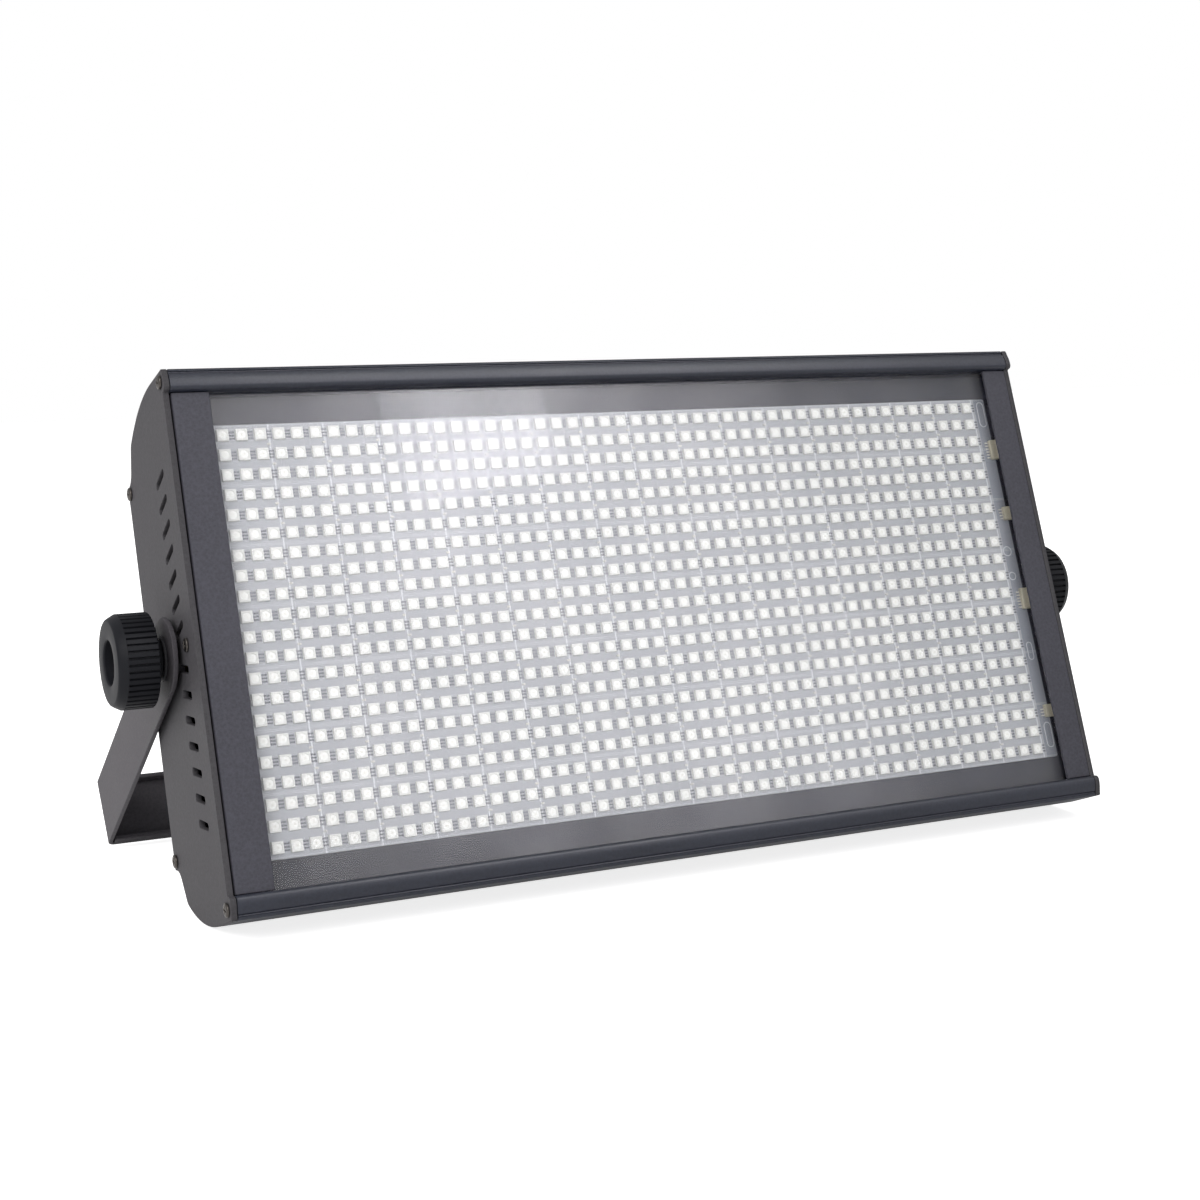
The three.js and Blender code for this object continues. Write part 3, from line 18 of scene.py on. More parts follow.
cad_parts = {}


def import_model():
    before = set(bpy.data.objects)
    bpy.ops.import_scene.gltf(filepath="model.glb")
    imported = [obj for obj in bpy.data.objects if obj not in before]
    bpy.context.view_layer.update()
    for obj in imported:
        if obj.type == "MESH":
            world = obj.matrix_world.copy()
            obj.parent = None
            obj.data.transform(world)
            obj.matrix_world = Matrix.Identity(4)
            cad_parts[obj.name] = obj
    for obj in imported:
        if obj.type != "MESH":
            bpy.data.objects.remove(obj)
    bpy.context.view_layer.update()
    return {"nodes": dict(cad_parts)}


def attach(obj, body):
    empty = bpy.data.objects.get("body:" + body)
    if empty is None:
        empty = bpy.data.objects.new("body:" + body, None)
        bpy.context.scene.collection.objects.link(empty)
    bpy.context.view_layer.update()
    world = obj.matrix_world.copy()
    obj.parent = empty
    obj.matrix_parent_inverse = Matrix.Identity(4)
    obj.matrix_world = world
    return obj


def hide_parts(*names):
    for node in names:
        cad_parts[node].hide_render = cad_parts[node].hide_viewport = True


Array = np.ndarray
Pair = tuple[float, float]
Triple = tuple[float, float, float]
Four = tuple[float, float, float, float]

LOG = logging.getLogger("strobe_light")
MM = 0.001
SMOOTH_ANGLE = math.radians(32)
TURN = 2 * math.pi
QUARTER = math.pi / 2
SEAT = 0.3  # between two pieces that touch
EDGE_SHARE = 0.3  # where the middle point of a softened edge lies
STUD_HOLE = 4.35  # radius of every hole round a stud
SIDES = (("left", -1), ("right", 1))
LEVELS = (("top", 1), ("bottom", -1))


# Shapes as plain arrays


def arc(cx: float, cy: float, radius: float, start: float, end: float, steps: int) -> Array:
    """The steps + 1 points of a circle's arc from one angle to another, evenly spaced by angle."""
    angle = np.linspace(start, end, steps + 1)
    return np.stack([cx + radius * np.cos(angle), cy + radius * np.sin(angle)], 1)


def ring(cx: float, cy: float, radius: float, sides: int) -> Array:
    """A closed circle's points, anticlockwise, without a repeated last point."""
    return arc(cx, cy, radius, 0, TURN, sides)[:-1]


def rectangle(u0: float, u1: float, v0: float, v1: float, radius: float = 0, steps: int = 4) -> Array:
    """A rectangle's outline, anticlockwise: its corners, or a quarter circle at each.

    Args:
        u0, u1, v0, v1: where it starts and ends along each axis.
        radius: the corners' radius.
        steps: how many steps each rounded corner has.

    Returns:
        The outline's points.
    """
    if radius <= 0:
        return np.array([[u0, v0], [u1, v0], [u1, v1], [u0, v1]], float)
    centres = [(u1 - radius, v0 + radius, -1), (u1 - radius, v1 - radius, 0),
               (u0 + radius, v1 - radius, 1), (u0 + radius, v0 + radius, 2)]
    return np.concatenate([arc(u, v, radius, k * QUARTER, (k + 1) * QUARTER, steps) for u, v, k in centres])


def centred(half_width: float, half_height: float, radius: float = 0) -> Array:
    """The outline of a rectangle round the origin."""
    return rectangle(-half_width, half_width, -half_height, half_height, radius)


def stadium(cx: float, cy: float, length: float, width: float, lean: float, steps: int) -> Array:
    """A slot's outline: two half circles joined by straight sides, turned by lean about its centre.

    Args:
        cx, cy: the centre.
        length, width: the size over everything.
        lean: how far the slot is turned, in radians.
        steps: how many steps each half circle has.

    Returns:
        The outline's points, anticlockwise.
    """
    reach = (length - width) / 2
    along = np.array([math.cos(lean), math.sin(lean)]) * reach
    return np.concatenate([
        arc(cx + along[0], cy + along[1], width / 2, lean - QUARTER, lean + QUARTER, steps),
        arc(cx - along[0], cy - along[1], width / 2, lean + QUARTER, lean + 3 * QUARTER, steps)])


def inset(loop: Array, distance: float) -> Array:
    """A closed loop moved to its left: each point goes along the mean of its two sides' normals.

    Args:
        loop: the loop's points.
        distance: how far each side moves; below zero it moves to the right.

    Returns:
        The moved points.
    """
    ahead = np.roll(loop, -1, 0) - loop
    ahead /= np.maximum(np.linalg.norm(ahead, axis=1, keepdims=True), 1e-9)
    behind = np.roll(ahead, 1, 0)
    normal = np.stack([-(ahead + behind)[:, 1], (ahead + behind)[:, 0]], 1)
    normal /= np.maximum(np.linalg.norm(normal, axis=1, keepdims=True), 1e-9)
    side = np.stack([-ahead[:, 1], ahead[:, 0]], 1)
    spread = np.maximum((normal * side).sum(1, keepdims=True), 0.5)
    return loop + normal * distance / spread


def signed_area(loop: Array) -> float:
    """Twice the area inside a loop, positive where it runs anticlockwise."""
    after = np.roll(loop, -1, 0)
    return float((loop[:, 0] * after[:, 1] - after[:, 0] * loop[:, 1]).sum())


def anticlockwise(loop: Array) -> Array:
    """A loop, turned round where it runs clockwise."""
    return loop if signed_area(loop) > 0 else loop[::-1]


def ordered(side: int, *values: float) -> list[float]:
    """Values times 1 or -1, the lowest first."""
    return sorted(side * value for value in values)


def grid_faces(rows: int, columns: int) -> Array:
    """Quads between the rows of a grid whose columns run round a loop.

    Args:
        rows, columns: how many points the grid has each way.

    Returns:
        One row of four point numbers for each quad.
    """
    row, column = np.meshgrid(np.arange(rows - 1), np.arange(columns), indexing="ij")
    after = (column + 1) % columns
    low, high = row * columns, (row + 1) * columns
    return np.stack([c.ravel() for c in (low + column, low + after, high + after, high + column)], 1)


def carry(loop: Array, axis: str, at: float) -> Array:
    """A flat loop as points in space, at one place along the axis that it isn't drawn in.

    Args:
        loop: (y, z) points for "x", (x, z) points for "y", (x, y) points for "z".
        axis: the axis.
        at: the place along it.

    Returns:
        The points in space.
    """
    level = np.full(len(loop), at)
    order = {"x": [level, loop[:, 0], loop[:, 1]], "y": [loop[:, 0], level, loop[:, 1]],
             "z": [loop[:, 0], loop[:, 1], level]}
    return np.stack(order[axis], 1)


def softened(loop: Array, axis: str, low: float, high: float, bevel: float, tuck: float) -> Array:
    """Four rings that carry a loop from low to high, pulled in by tuck at both ends over a bevel's length.

    Args:
        loop: the cross-section, anticlockwise.
        axis: the axis that it runs along.
        low, high: where it starts and ends.
        bevel: how long each softened end is.
        tuck: how far the end rings are pulled in.

    Returns:
        An array of four rings.
    """
    steps = ((low, tuck), (low + bevel, 0), (high - bevel, 0), (high, tuck))
    return np.stack([carry(inset(loop, amount), axis, at) for at, amount in steps])


@dataclass
class Shape:
    """Closed bodies gathered into one mesh: points, faces, each face's finish and which faces stay flat."""

    points: list[Array] = field(default_factory=list)
    faces: list[tuple[int, ...]] = field(default_factory=list)
    slots: list[int] = field(default_factory=list)
    flat: list[bool] = field(default_factory=list)
    count: int = 0

    def add(self, points: Array, faces: list, slot: int | list[int] = 0, caps: int = 0) -> "Shape":
        """Adds one body.

        Args:
            points: its points.
            faces: lists or arrays of point numbers, anticlockwise seen from outside.
            slot: the finish's number, one for all faces or one each.
            caps: how many of the last faces are flat ends, shaded flat.

        Returns:
            This shape, so that calls can be chained.
        """
        self.points.append(np.asarray(points, float))
        self.flat += [False] * (len(faces) - caps) + [True] * caps
        self.faces += [tuple(int(i) + self.count for i in face) for face in faces]
        self.slots += [slot] * len(faces) if np.isscalar(slot) else slot
        self.count += len(points)
        return self

    def rings(self, rings: Array, slot: int = 0, flip: bool = False) -> "Shape":
        """Adds a tube made of equal rings of points, closed by a flat face at each end.

        Args:
            rings: an array of rings, each an array of points.
            slot: the finish's number.
            flip: turns the faces round.

        Returns:
            This shape.
        """
        rows, columns, _ = rings.shape
        faces = grid_faces(rows, columns).tolist()
        faces += [list(range(columns))[::-1], list(range((rows - 1) * columns, rows * columns))]
        return self.add(rings.reshape(-1, 3), [f[::-1] for f in faces] if flip else faces, slot, 2)

    def turned(self, axis: str, centre: Triple, profile: list[Pair],
               sides: int = 48, sense: float = 1) -> "Shape":
        """Adds a body turned on a lathe: a ring of each profile point's radius at its distance.

        Args:
            axis: "x" or "y", along which the distances run.
            centre: the point where the distance is zero.
            profile: (radius, distance) points from one end to the other.
            sides: how many sides each ring has.
            sense: -1 to run the distances the other way.

        Returns:
            This shape.
        """
        radius, far = np.array(profile, float).T
        angle = np.linspace(0, TURN, sides, endpoint=False)
        across, up = np.outer(radius, np.cos(angle)), np.outer(radius, np.sin(angle))
        along = np.repeat(far[:, None] * sense, sides, 1)
        order = [along, across, up] if axis == "x" else [across, along, up]
        rising = far[-1] * sense > far[0] * sense
        return self.rings(np.stack(order, 2) + np.array(centre), flip=(axis == "y") == rising)

    def slab(self, axis: str, outline: Array, holes: list[Array], low: float, high: float,
             bevel: float = 0.25, slot: int = 0) -> "Shape":
        """Adds a flat plate with holes and softened edges: each loop is carried through the plate, a little
        nearer the material at both faces, and the faces are filled with triangles between the loops.

        Args:
            axis: the axis that the plate's thickness runs along.
            outline: the outer loop.
            holes: the inner loops.
            low, high: where the plate starts and ends along the axis.
            bevel: how wide the softened edge is.
            slot: the finish's number.

        Returns:
            This shape.
        """
        loops = [anticlockwise(outline)] + [anticlockwise(hole)[::-1] for hole in holes]
        step = bevel * EDGE_SHARE
        steps = [(low, bevel), (low + step, step), (low + bevel, 0),
                 (high - bevel, 0), (high - step, step), (high, bevel)]
        start = 0
        points, faces = [], []
        ends: list[list[list[Vector]]] = [[], []]
        numbers: list[list[int]] = [[], []]
        for loop in loops:
            flat_rings = [inset(loop, amount) for _, amount in steps]
            tube = np.stack([carry(r, axis, at) for r, (at, _) in zip(flat_rings, steps)])
            rows, columns, _ = tube.shape
            points.append(tube.reshape(-1, 3))
            faces += (grid_faces(rows, columns) + start).tolist()
            for end, row in ((0, 0), (1, rows - 1)):
                ends[end].append([Vector((p[0], p[1], 0)) for p in flat_rings[row]])
                numbers[end] += list(range(start + row * columns, start + (row + 1) * columns))
            start += rows * columns
        walls = len(faces)
        for end in (0, 1):
            flat = np.concatenate([np.array([[v.x, v.y] for v in loop]) for loop in ends[end]])
            for triangle in tessellate_polygon(ends[end]):
                corners = [numbers[end][i] for i in triangle]
                up = signed_area(flat[list(triangle)]) > 0
                faces.append(corners if up == (end == 1) else corners[::-1])
        faces = [f[::-1] for f in faces] if axis == "y" else faces
        return self.add(np.concatenate(points), faces, slot, len(faces) - walls)

    def block(self, low: Triple, high: Triple, bevel: float = 0.25, slot: int = 0) -> "Shape":
        """Adds a block with softened upright and end edges, as a slab along the depth."""
        outline = rectangle(low[0], high[0], low[2], high[2], bevel, 2)
        return self.slab("y", outline, [], low[1], high[1], bevel, slot)

    def joined_ends(self, sides: int) -> "Shape":
        """Closes a turned profile on itself: its two end faces go and its last ring becomes its first.

        Args:
            sides: how many sides each ring has.

        Returns:
            This shape.
        """
        last = self.count - sides
        self.faces = [tuple(i - last if i >= last else i for i in face) for face in self.faces[:-2]]
        self.slots, self.flat = self.slots[:-2], self.flat[:-2]
        self.points, self.count = [np.concatenate(self.points)[:last]], last
        return self


@dataclass(frozen=True)
class Place:
    """Where a leaning sub-assembly is: its origin in the row frame and how far it leans back."""

    origin: Triple
    lean: float

    def world(self, points: Array) -> Array:
        """Millimetres beside the sub-assembly as metres in the row frame: a turn about x, then a shift.

        Args:
            points: rows of x, depth and height.

        Returns:
            Rows of x, y and z.
        """
        c, s = math.cos(self.lean), math.sin(self.lean)
        x, y, z = np.asarray(points, float).T
        return np.stack([x, y * c + z * s, z * c - y * s], 1) * MM + np.array(self.origin)


def new_object(name: str, mesh: Mesh) -> Object:
    """Adds an object with a mesh to the scene.

    Args:
        name: its name.
        mesh: its mesh.

    Returns:
        The new object.
    """
    made = bpy.data.objects.new(name, mesh)
    bpy.context.scene.collection.objects.link(made)
    return made


def baked(piece: Object) -> Mesh:
    """Gives a piece the mesh that its modifiers make, takes the modifiers off and marks its sharp edges.

    Args:
        piece: the object.

    Returns:
        Its new mesh.
    """
    bpy.context.view_layer.update()
    made = bpy.data.meshes.new_from_object(piece.evaluated_get(bpy.context.evaluated_depsgraph_get()))
    piece.modifiers.clear()
    piece.data = made
    made.set_sharp_from_angle(angle=SMOOTH_ANGLE)
    return made


# Finishes


def new_group(name: str, inputs: dict[str, float], outputs: list[str]) -> tuple["Wiring", object, object]:
    """An empty shader group with named number sockets.

    Args:
        name: the group's name.
        inputs: each input's name and default.
        outputs: each output's name.

    Returns:
        The tree's wiring, its inputs by name and its output node.
    """
    tree = bpy.data.node_groups.new(name, "ShaderNodeTree")
    kind = "NodeSocketFloat"
    for label, value in inputs.items():
        tree.interface.new_socket(name=label, in_out="INPUT", socket_type=kind).default_value = value
    for label in outputs:
        tree.interface.new_socket(name=label, in_out="OUTPUT", socket_type=kind)
    return Wiring(tree), tree.nodes.new("NodeGroupInput").outputs, tree.nodes.new("NodeGroupOutput")


def new_material(name: str) -> tuple[Material, "Wiring", Node]:
    """Makes a material with nodes.

    Args:
        name: its name.

    Returns:
        The material, its wiring and its shader.
    """
    material = bpy.data.materials.new(name)
    material.use_nodes = True
    return material, Wiring(material.node_tree), material.node_tree.nodes["Principled BSDF"]


class Wiring:
    """Short ways to add and join nodes in one tree."""

    def __init__(self, tree: NodeTree) -> None:
        """Keeps the tree that the nodes go into."""
        self.tree = tree

    def fill(self, node: Node, inputs: dict) -> None:
        """Sets a node's inputs.

        Args:
            node: the node.
            inputs: sockets to join or values to set, by the input's name or number.
        """
        for label, value in inputs.items():
            if isinstance(value, NodeSocket):
                self.tree.links.new(value, node.inputs[label])
            else:
                node.inputs[label].default_value = value

    def node(self, kind: str, inputs: dict | None = None, **settings: object) -> Node:
        """Adds a node.

        Args:
            kind: its type's name.
            inputs: as for fill.
            settings: the node's own settings.

        Returns:
            The new node.
        """
        made = self.tree.nodes.new(kind)
        for label, value in settings.items():
            setattr(made, label, value)
        self.fill(made, inputs or {})
        return made

    def group(self, tree: NodeTree, inputs: dict | None = None) -> bpy.types.bpy_prop_collection:
        """The outputs of a shared group, placed here with its own values."""
        return self.node("ShaderNodeGroup", inputs, node_tree=tree).outputs

    def maths(self, operation: str, a: object, b: object = 0.0, clamp: bool = False) -> NodeSocket:
        """The result of a Math node."""
        return self.node("ShaderNodeMath", {0: a, 1: b}, operation=operation, use_clamp=clamp).outputs[0]

    def times(self, a: object, b: object) -> NodeSocket:
        """The product of two values."""
        return self.maths("MULTIPLY", a, b)

    def mix(self, factor: object, a: object, b: object) -> NodeSocket:
        """Colour a where factor is 0 and colour b where it is 1."""
        return self.node("ShaderNodeMix", {0: factor, 6: a, 7: b}, data_type="RGBA").outputs[2]

    def ramp(self, value: object, low: object, high: object, start: float = 0.0,
             end: float = 1.0) -> NodeSocket:
        """start where value is low, end where it is high and a straight line between, held beyond both."""
        return self.node("ShaderNodeMapRange", dict(enumerate((value, low, high, start, end)))).outputs[0]

    def within(self, value: object, centre: float, half: float, soft: float) -> NodeSocket:
        """1 where value is within half of centre, falling to 0 over soft."""
        away = self.maths("ABSOLUTE", self.maths("SUBTRACT", value, centre))
        return self.ramp(away, half + soft, half)


def colour(red: int, green: int, blue: int) -> Four:
    """A screen colour as linear light: a value below 0.04 is divided by 12.92, above it is a power of 2.4.

    Args:
        red, green, blue: the colour, 0 to 255.

    Returns:
        Its linear red, green and blue, and full opacity.
    """
    values = np.array([red, green, blue]) / 255
    linear = np.where(values <= 0.04045, values / 12.92, ((values + 0.055) / 1.055) ** 2.4)
    return (*linear.tolist(), 1.0)


def shade(base: tuple, factor: float) -> tuple:
    """A colour made darker or lighter by a factor."""
    return (*[min(1.0, c * factor) for c in base[:3]], 1.0)


class Effects:
    """The node groups that several finishes share, each built once."""

    def __init__(self) -> None:
        """Builds every group."""
        self.grain = self._grain()
        self.wear = self._wear()
        self.print = self._print()

    @staticmethod
    def _grain() -> NodeTree:
        """Fine pimples of two sizes and slow blotches, from noise on object coordinates.

        Returns:
            The group's tree.
        """
        w, inside, outside = new_group("surface grain", {"Fine": 1800.0, "Coarse": 700.0, "Blotch": 18.0},
                                       ["Height", "Mask"])
        where = w.node("ShaderNodeTexCoord").outputs["Object"]
        kinds = {"Fine": ("Noise", {"Detail": 2.0}), "Coarse": ("Voronoi", {}),
                 "Blotch": ("Noise", {"Detail": 3.0})}
        fine, coarse, blotch = [
            w.node("ShaderNodeTex" + kind, {"Vector": where, "Scale": inside[label], **more}).outputs[0]
            for label, (kind, more) in kinds.items()]
        coarse_share = 0.6
        w.fill(outside, {"Height": w.maths("ADD", fine, w.times(coarse, coarse_share)), "Mask": blotch})
        return w.tree

    @staticmethod
    def _wear() -> NodeTree:
        """A mask of sparse small scuffs: where a stretched noise rises above a threshold.

        Returns:
            The group's tree.
        """
        w, inside, outside = new_group("small scuffs", {"Scale": 160.0, "Threshold": 0.72}, ["Mask"])
        where = w.node("ShaderNodeTexCoord").outputs["Object"]
        turn, stretch, detail, full = (0.3, 0.5, 0.8), (1.0, 3.0, 1.0), 4.0, 0.85
        turned = w.node("ShaderNodeMapping", {"Vector": where, "Rotation": turn, "Scale": stretch})
        noise = w.node("ShaderNodeTexNoise", {"Vector": turned.outputs[0], "Scale": inside["Scale"],
                                              "Detail": detail})
        w.fill(outside, {"Mask": w.ramp(noise.outputs[0], inside["Threshold"], full)})
        return w.tree

    @staticmethod
    def _print() -> NodeTree:
        """The lamp board's print, from a UV map that counts lamps: lines between groups of lamps, three
        small dark solder marks at each side of every lamp, and the bare margin beyond the last column.

        Returns:
            The group's tree.
        """
        w, inside, outside = new_group("board print", {"Group": 3.0, "Line": 0.03, "End": 48.2},
                                       ["Line", "Marks", "Margin"])
        split = w.node("ShaderNodeSeparateXYZ", {0: w.node("ShaderNodeUVMap").outputs[0]})
        u, v = split.outputs[0], split.outputs[1]
        line_edge = 0.05
        pair = dict(centre=0.04, half=0.008, soft=0.016)
        pair_share = 0.5
        mark_across = dict(centre=0.415, half=0.07, soft=0.015)
        mark_up = dict(half=0.034, soft=0.02)
        mark_rows = (-0.16, 0.0, 0.16)

        def off_line(value: object) -> NodeSocket:
            """How far a coordinate is from the nearest line between groups, in lamps."""
            share = w.maths("FRACT", w.maths("ADD", w.maths("DIVIDE", value, inside["Group"]), 0.5))
            return w.times(w.maths("ABSOLUTE", w.maths("SUBTRACT", share, 0.5)), inside["Group"])

        def off_lamp(value: object) -> NodeSocket:
            """How far a coordinate is from the lamp's middle, in lamps."""
            return w.maths("SUBTRACT", w.maths("FRACT", value), 0.5)

        upright = w.ramp(off_line(u), line_edge, inside["Line"])
        level = w.times(w.within(off_line(v), **pair), pair_share)
        margin = w.maths("GREATER_THAN", u, inside["End"])
        beside = w.within(w.maths("ABSOLUTE", off_lamp(u)), **mark_across)
        low, middle, high = [w.within(off_lamp(v), row, **mark_up) for row in mark_rows]
        marks = w.times(beside, w.maths("ADD", w.maths("ADD", low, middle), high, True))
        w.fill(outside, {"Line": w.maths("MAXIMUM", upright, level), "Margin": margin,
                         "Marks": w.times(marks, w.maths("SUBTRACT", 1.0, margin))})
        return w.tree


class Look(Enum):
    """How a finish's surface is broken up."""

    POWDER = "powder coat"
    MOULDED = "moulded plastic"
    SMOOTH = "smooth"
    BRUSHED = "brushed metal"


@dataclass(frozen=True)
class Finish:
    """One finish: its colours, gloss and surface."""

    name: str
    base: tuple
    roughness: float
    look: Look = Look.SMOOTH
    metallic: float = 0.0
    bump: float = 0.0
    coat: float = 0.0
    specular: float = 0.5
    grain: Triple = (1800.0, 700.0, 18.0)
    variation: float = 0.12
    scuffs: float = 0.0
    # glow: emission in a surface's own colour; on the unlit lamp lenses it is painted light
    glow: float = 0.0
    blotch: Pair = (0.3, 0.7)
    fleck: Pair = (0.5, 1.1)
    fleck_share: float = 0.35
    fleck_shade: float = 1.9
    scuff_shade: float = 2.6
    rough_spread: float = 0.08
    coat_roughness: float = 0.08
    bump_distance: float = 0.0001

    def make(self, effects: Effects) -> Material:
        """Builds the material.

        Args:
            effects: the shared groups.

        Returns:
            A material whose colour, roughness and bump vary over the surface.
        """
        material, w, shader = new_material(self.name)
        grain = w.group(effects.grain, dict(zip(("Fine", "Coarse", "Blotch"), self.grain)))
        blotch = w.ramp(grain["Mask"], *self.blotch)
        tint = w.mix(blotch, shade(self.base, 1 - self.variation), shade(self.base, 1 + self.variation))
        if self.look is Look.POWDER:
            fleck = w.times(w.ramp(grain["Height"], *self.fleck), self.fleck_share)
            tint = w.mix(fleck, tint, shade(self.base, self.fleck_shade))
        if self.scuffs > 0:
            scuff = w.times(w.group(effects.wear)["Mask"], self.scuffs)
            tint = w.mix(scuff, tint, shade(self.base, self.scuff_shade))
        rough = w.maths("ADD", w.times(blotch, self.rough_spread), self.roughness - self.rough_spread / 2)
        w.fill(shader, {"Base Color": tint, "Roughness": rough, "Metallic": self.metallic,
                        "Specular IOR Level": self.specular, "Coat Weight": self.coat,
                        "Coat Roughness": self.coat_roughness})
        # painted light: the surface glows in its own colour
        if self.glow > 0:
            w.fill(shader, {"Emission Color": tint, "Emission Strength": self.glow})
        if self.bump > 0:
            bump = w.node("ShaderNodeBump", {"Strength": self.bump, "Distance": self.bump_distance,
                                             "Height": grain["Height"]})
            w.fill(shader, {"Normal": bump.outputs[0]})
        return material


@dataclass(frozen=True)
class ClearPane:
    """The clear front pane, with a satin face against glare, a little dust and faint smudges."""

    name: str = "clear pane"
    index: float = 1.12
    dust: float = 30.0
    dusty: tuple = colour(250, 251, 252)
    clean: tuple = colour(255, 255, 255)
    smudge: Four = (0.35, 0.65, 0.7, 0.95)
    coat_roughness: float = 0.23

    def make(self, effects: Effects) -> Material:
        """Builds the material: a plain refracting body under a soft coat that spreads highlights.

        Args:
            effects: the shared groups.

        Returns:
            The material.
        """
        material, w, shader = new_material(self.name)
        mask = w.group(effects.grain, {"Blotch": self.dust})["Mask"]
        w.fill(shader, {"Base Color": w.mix(mask, self.dusty, self.clean), "Roughness": 0.0, "Metallic": 0.0,
                        "IOR": self.index, "Transmission Weight": 1.0,
                        "Coat Weight": w.ramp(mask, *self.smudge), "Coat Roughness": self.coat_roughness})
        return material


@dataclass(frozen=True)
class BoardPrint:
    """The lamp board's pale lacquer with its printed lines and solder marks."""

    name: str = "printed lamp board"
    lacquer: tuple = colour(167, 169, 175)
    spread: Pair = (0.94, 1.05)
    bare: tuple = colour(134, 138, 147)
    line: tuple = colour(213, 215, 219)
    line_share: float = 0.8
    mark: tuple = colour(90, 92, 99)
    mark_share: float = 0.92
    roughness: float = 0.5
    mark_gloss: float = 0.15
    specular: float = 0.2

    def make(self, effects: Effects) -> Material:
        """Builds the material from the board's own UV map.

        Args:
            effects: the shared groups.

        Returns:
            The material.
        """
        material, w, shader = new_material(self.name)
        printed = w.group(effects.print)
        low, high = [shade(self.lacquer, factor) for factor in self.spread]
        tint = w.mix(w.group(effects.grain)["Mask"], low, high)
        tint = w.mix(printed["Margin"], tint, self.bare)
        tint = w.mix(w.times(printed["Line"], self.line_share), tint, self.line)
        tint = w.mix(w.times(printed["Marks"], self.mark_share), tint, self.mark)
        rough = w.maths("ADD", w.times(printed["Marks"], -self.mark_gloss), self.roughness)
        w.fill(shader, {"Base Color": tint, "Roughness": rough, "Specular IOR Level": self.specular})
        return material


@dataclass
class Palette:
    """Every material that the pieces use."""

    effects: Effects
    made: dict[str, Material] = field(default_factory=dict)

    def __post_init__(self) -> None:
        """Makes each finish once, under its short name."""
        coat = dict(look=Look.POWDER, bump=0.35)
        metal = dict(look=Look.BRUSHED, metallic=1.0)
        lamp = dict(variation=0.02)
        finishes = {
            "rail": Finish("black powder coat", colour(39, 42, 53), 0.4, specular=0.4, scuffs=0.25, **coat),
            # side: the housing's dark powder coat made lighter and warmer for the end plates: painted light
            # from the lamp at the left
            "side": Finish("end plate coat with painted light", colour(63, 62, 65), 0.6, specular=0.2, scuffs=0.3, **coat),
            # filler: the rails' black powder coat made lighter for the strips that face the front: painted
            # light
            "filler": Finish("filler coat with painted light", colour(68, 68, 76), 0.55, specular=0.2, scuffs=0.15,
                             **coat),
            # yoke: the end plates' powder coat made lighter still for the lit arms: painted light
            "yoke": Finish("yoke coat with painted light", colour(70, 68, 72), 0.55, specular=0.2, scuffs=0.3, **coat),
            "knob": Finish("moulded knob", colour(31, 32, 36), 0.45, Look.MOULDED, bump=0.2, specular=0.1,
                           grain=(1500., 900., 25.)),
            "plastic": Finish("moulded black plastic", colour(38, 38, 41), 0.5, Look.MOULDED, bump=0.15),
            "screw": Finish("dark nickel screw", colour(88, 84, 81), 0.35, bump=0.05, scuffs=0.2, **metal),
            # washer: a zinc washer made dark: painted shade where it sits between the knob and the yoke arm
            "washer": Finish("washer painted dark as shade", colour(44, 44, 48), 0.45, Look.BRUSHED, bump=0.08,
                             specular=0.4),
            "zinc": Finish("zinc plate", colour(170, 172, 174), 0.38, bump=0.08, **metal),
            "brass": Finish("turned brass", colour(190, 158, 92), 0.3, bump=0.05, **metal),
            "aluminium": Finish("bare aluminium", colour(190, 192, 194), 0.36, bump=0.1, **metal),
            "rubber": Finish("black rubber", colour(30, 30, 31), 0.8, Look.MOULDED, bump=0.2),
            "tray": Finish("satin black tray", colour(45, 46, 58), 0.4, specular=0.1, variation=0.2),
            "circuit": Finish("green circuit board", colour(30, 92, 58), 0.4, coat=0.3),
            "display": Finish("smoked window", colour(18, 20, 24), 0.1, coat=1.0),
            "lamp": Finish("lamp housing", colour(217, 217, 214), 0.45, specular=0.2, **lamp),
            # lens: the faint glow brightens the unlit lamps and is painted light
            "lens": Finish("lamp lens", colour(234, 234, 231), 0.3, specular=0.3, glow=0.02, **lamp),
            "die": Finish("lamp die", colour(226, 225, 219), 0.3, variation=0.1),
            "plug": Finish("pale plug", colour(176, 170, 150), 0.5, Look.MOULDED, variation=0.1),
            "chip": Finish("small chip", colour(196, 194, 188), 0.45, variation=0.1),
            "ink": Finish("printed outline", colour(196, 199, 206), 0.4, variation=0.05),
            "pane": ClearPane(),
            "board": BoardPrint(),
        }
        self.made = {key: finish.make(self.effects) for key, finish in finishes.items()}

    def __getitem__(self, key: str) -> Material:
        """The material under a short name."""
        return self.made[key]


# Sub-assemblies


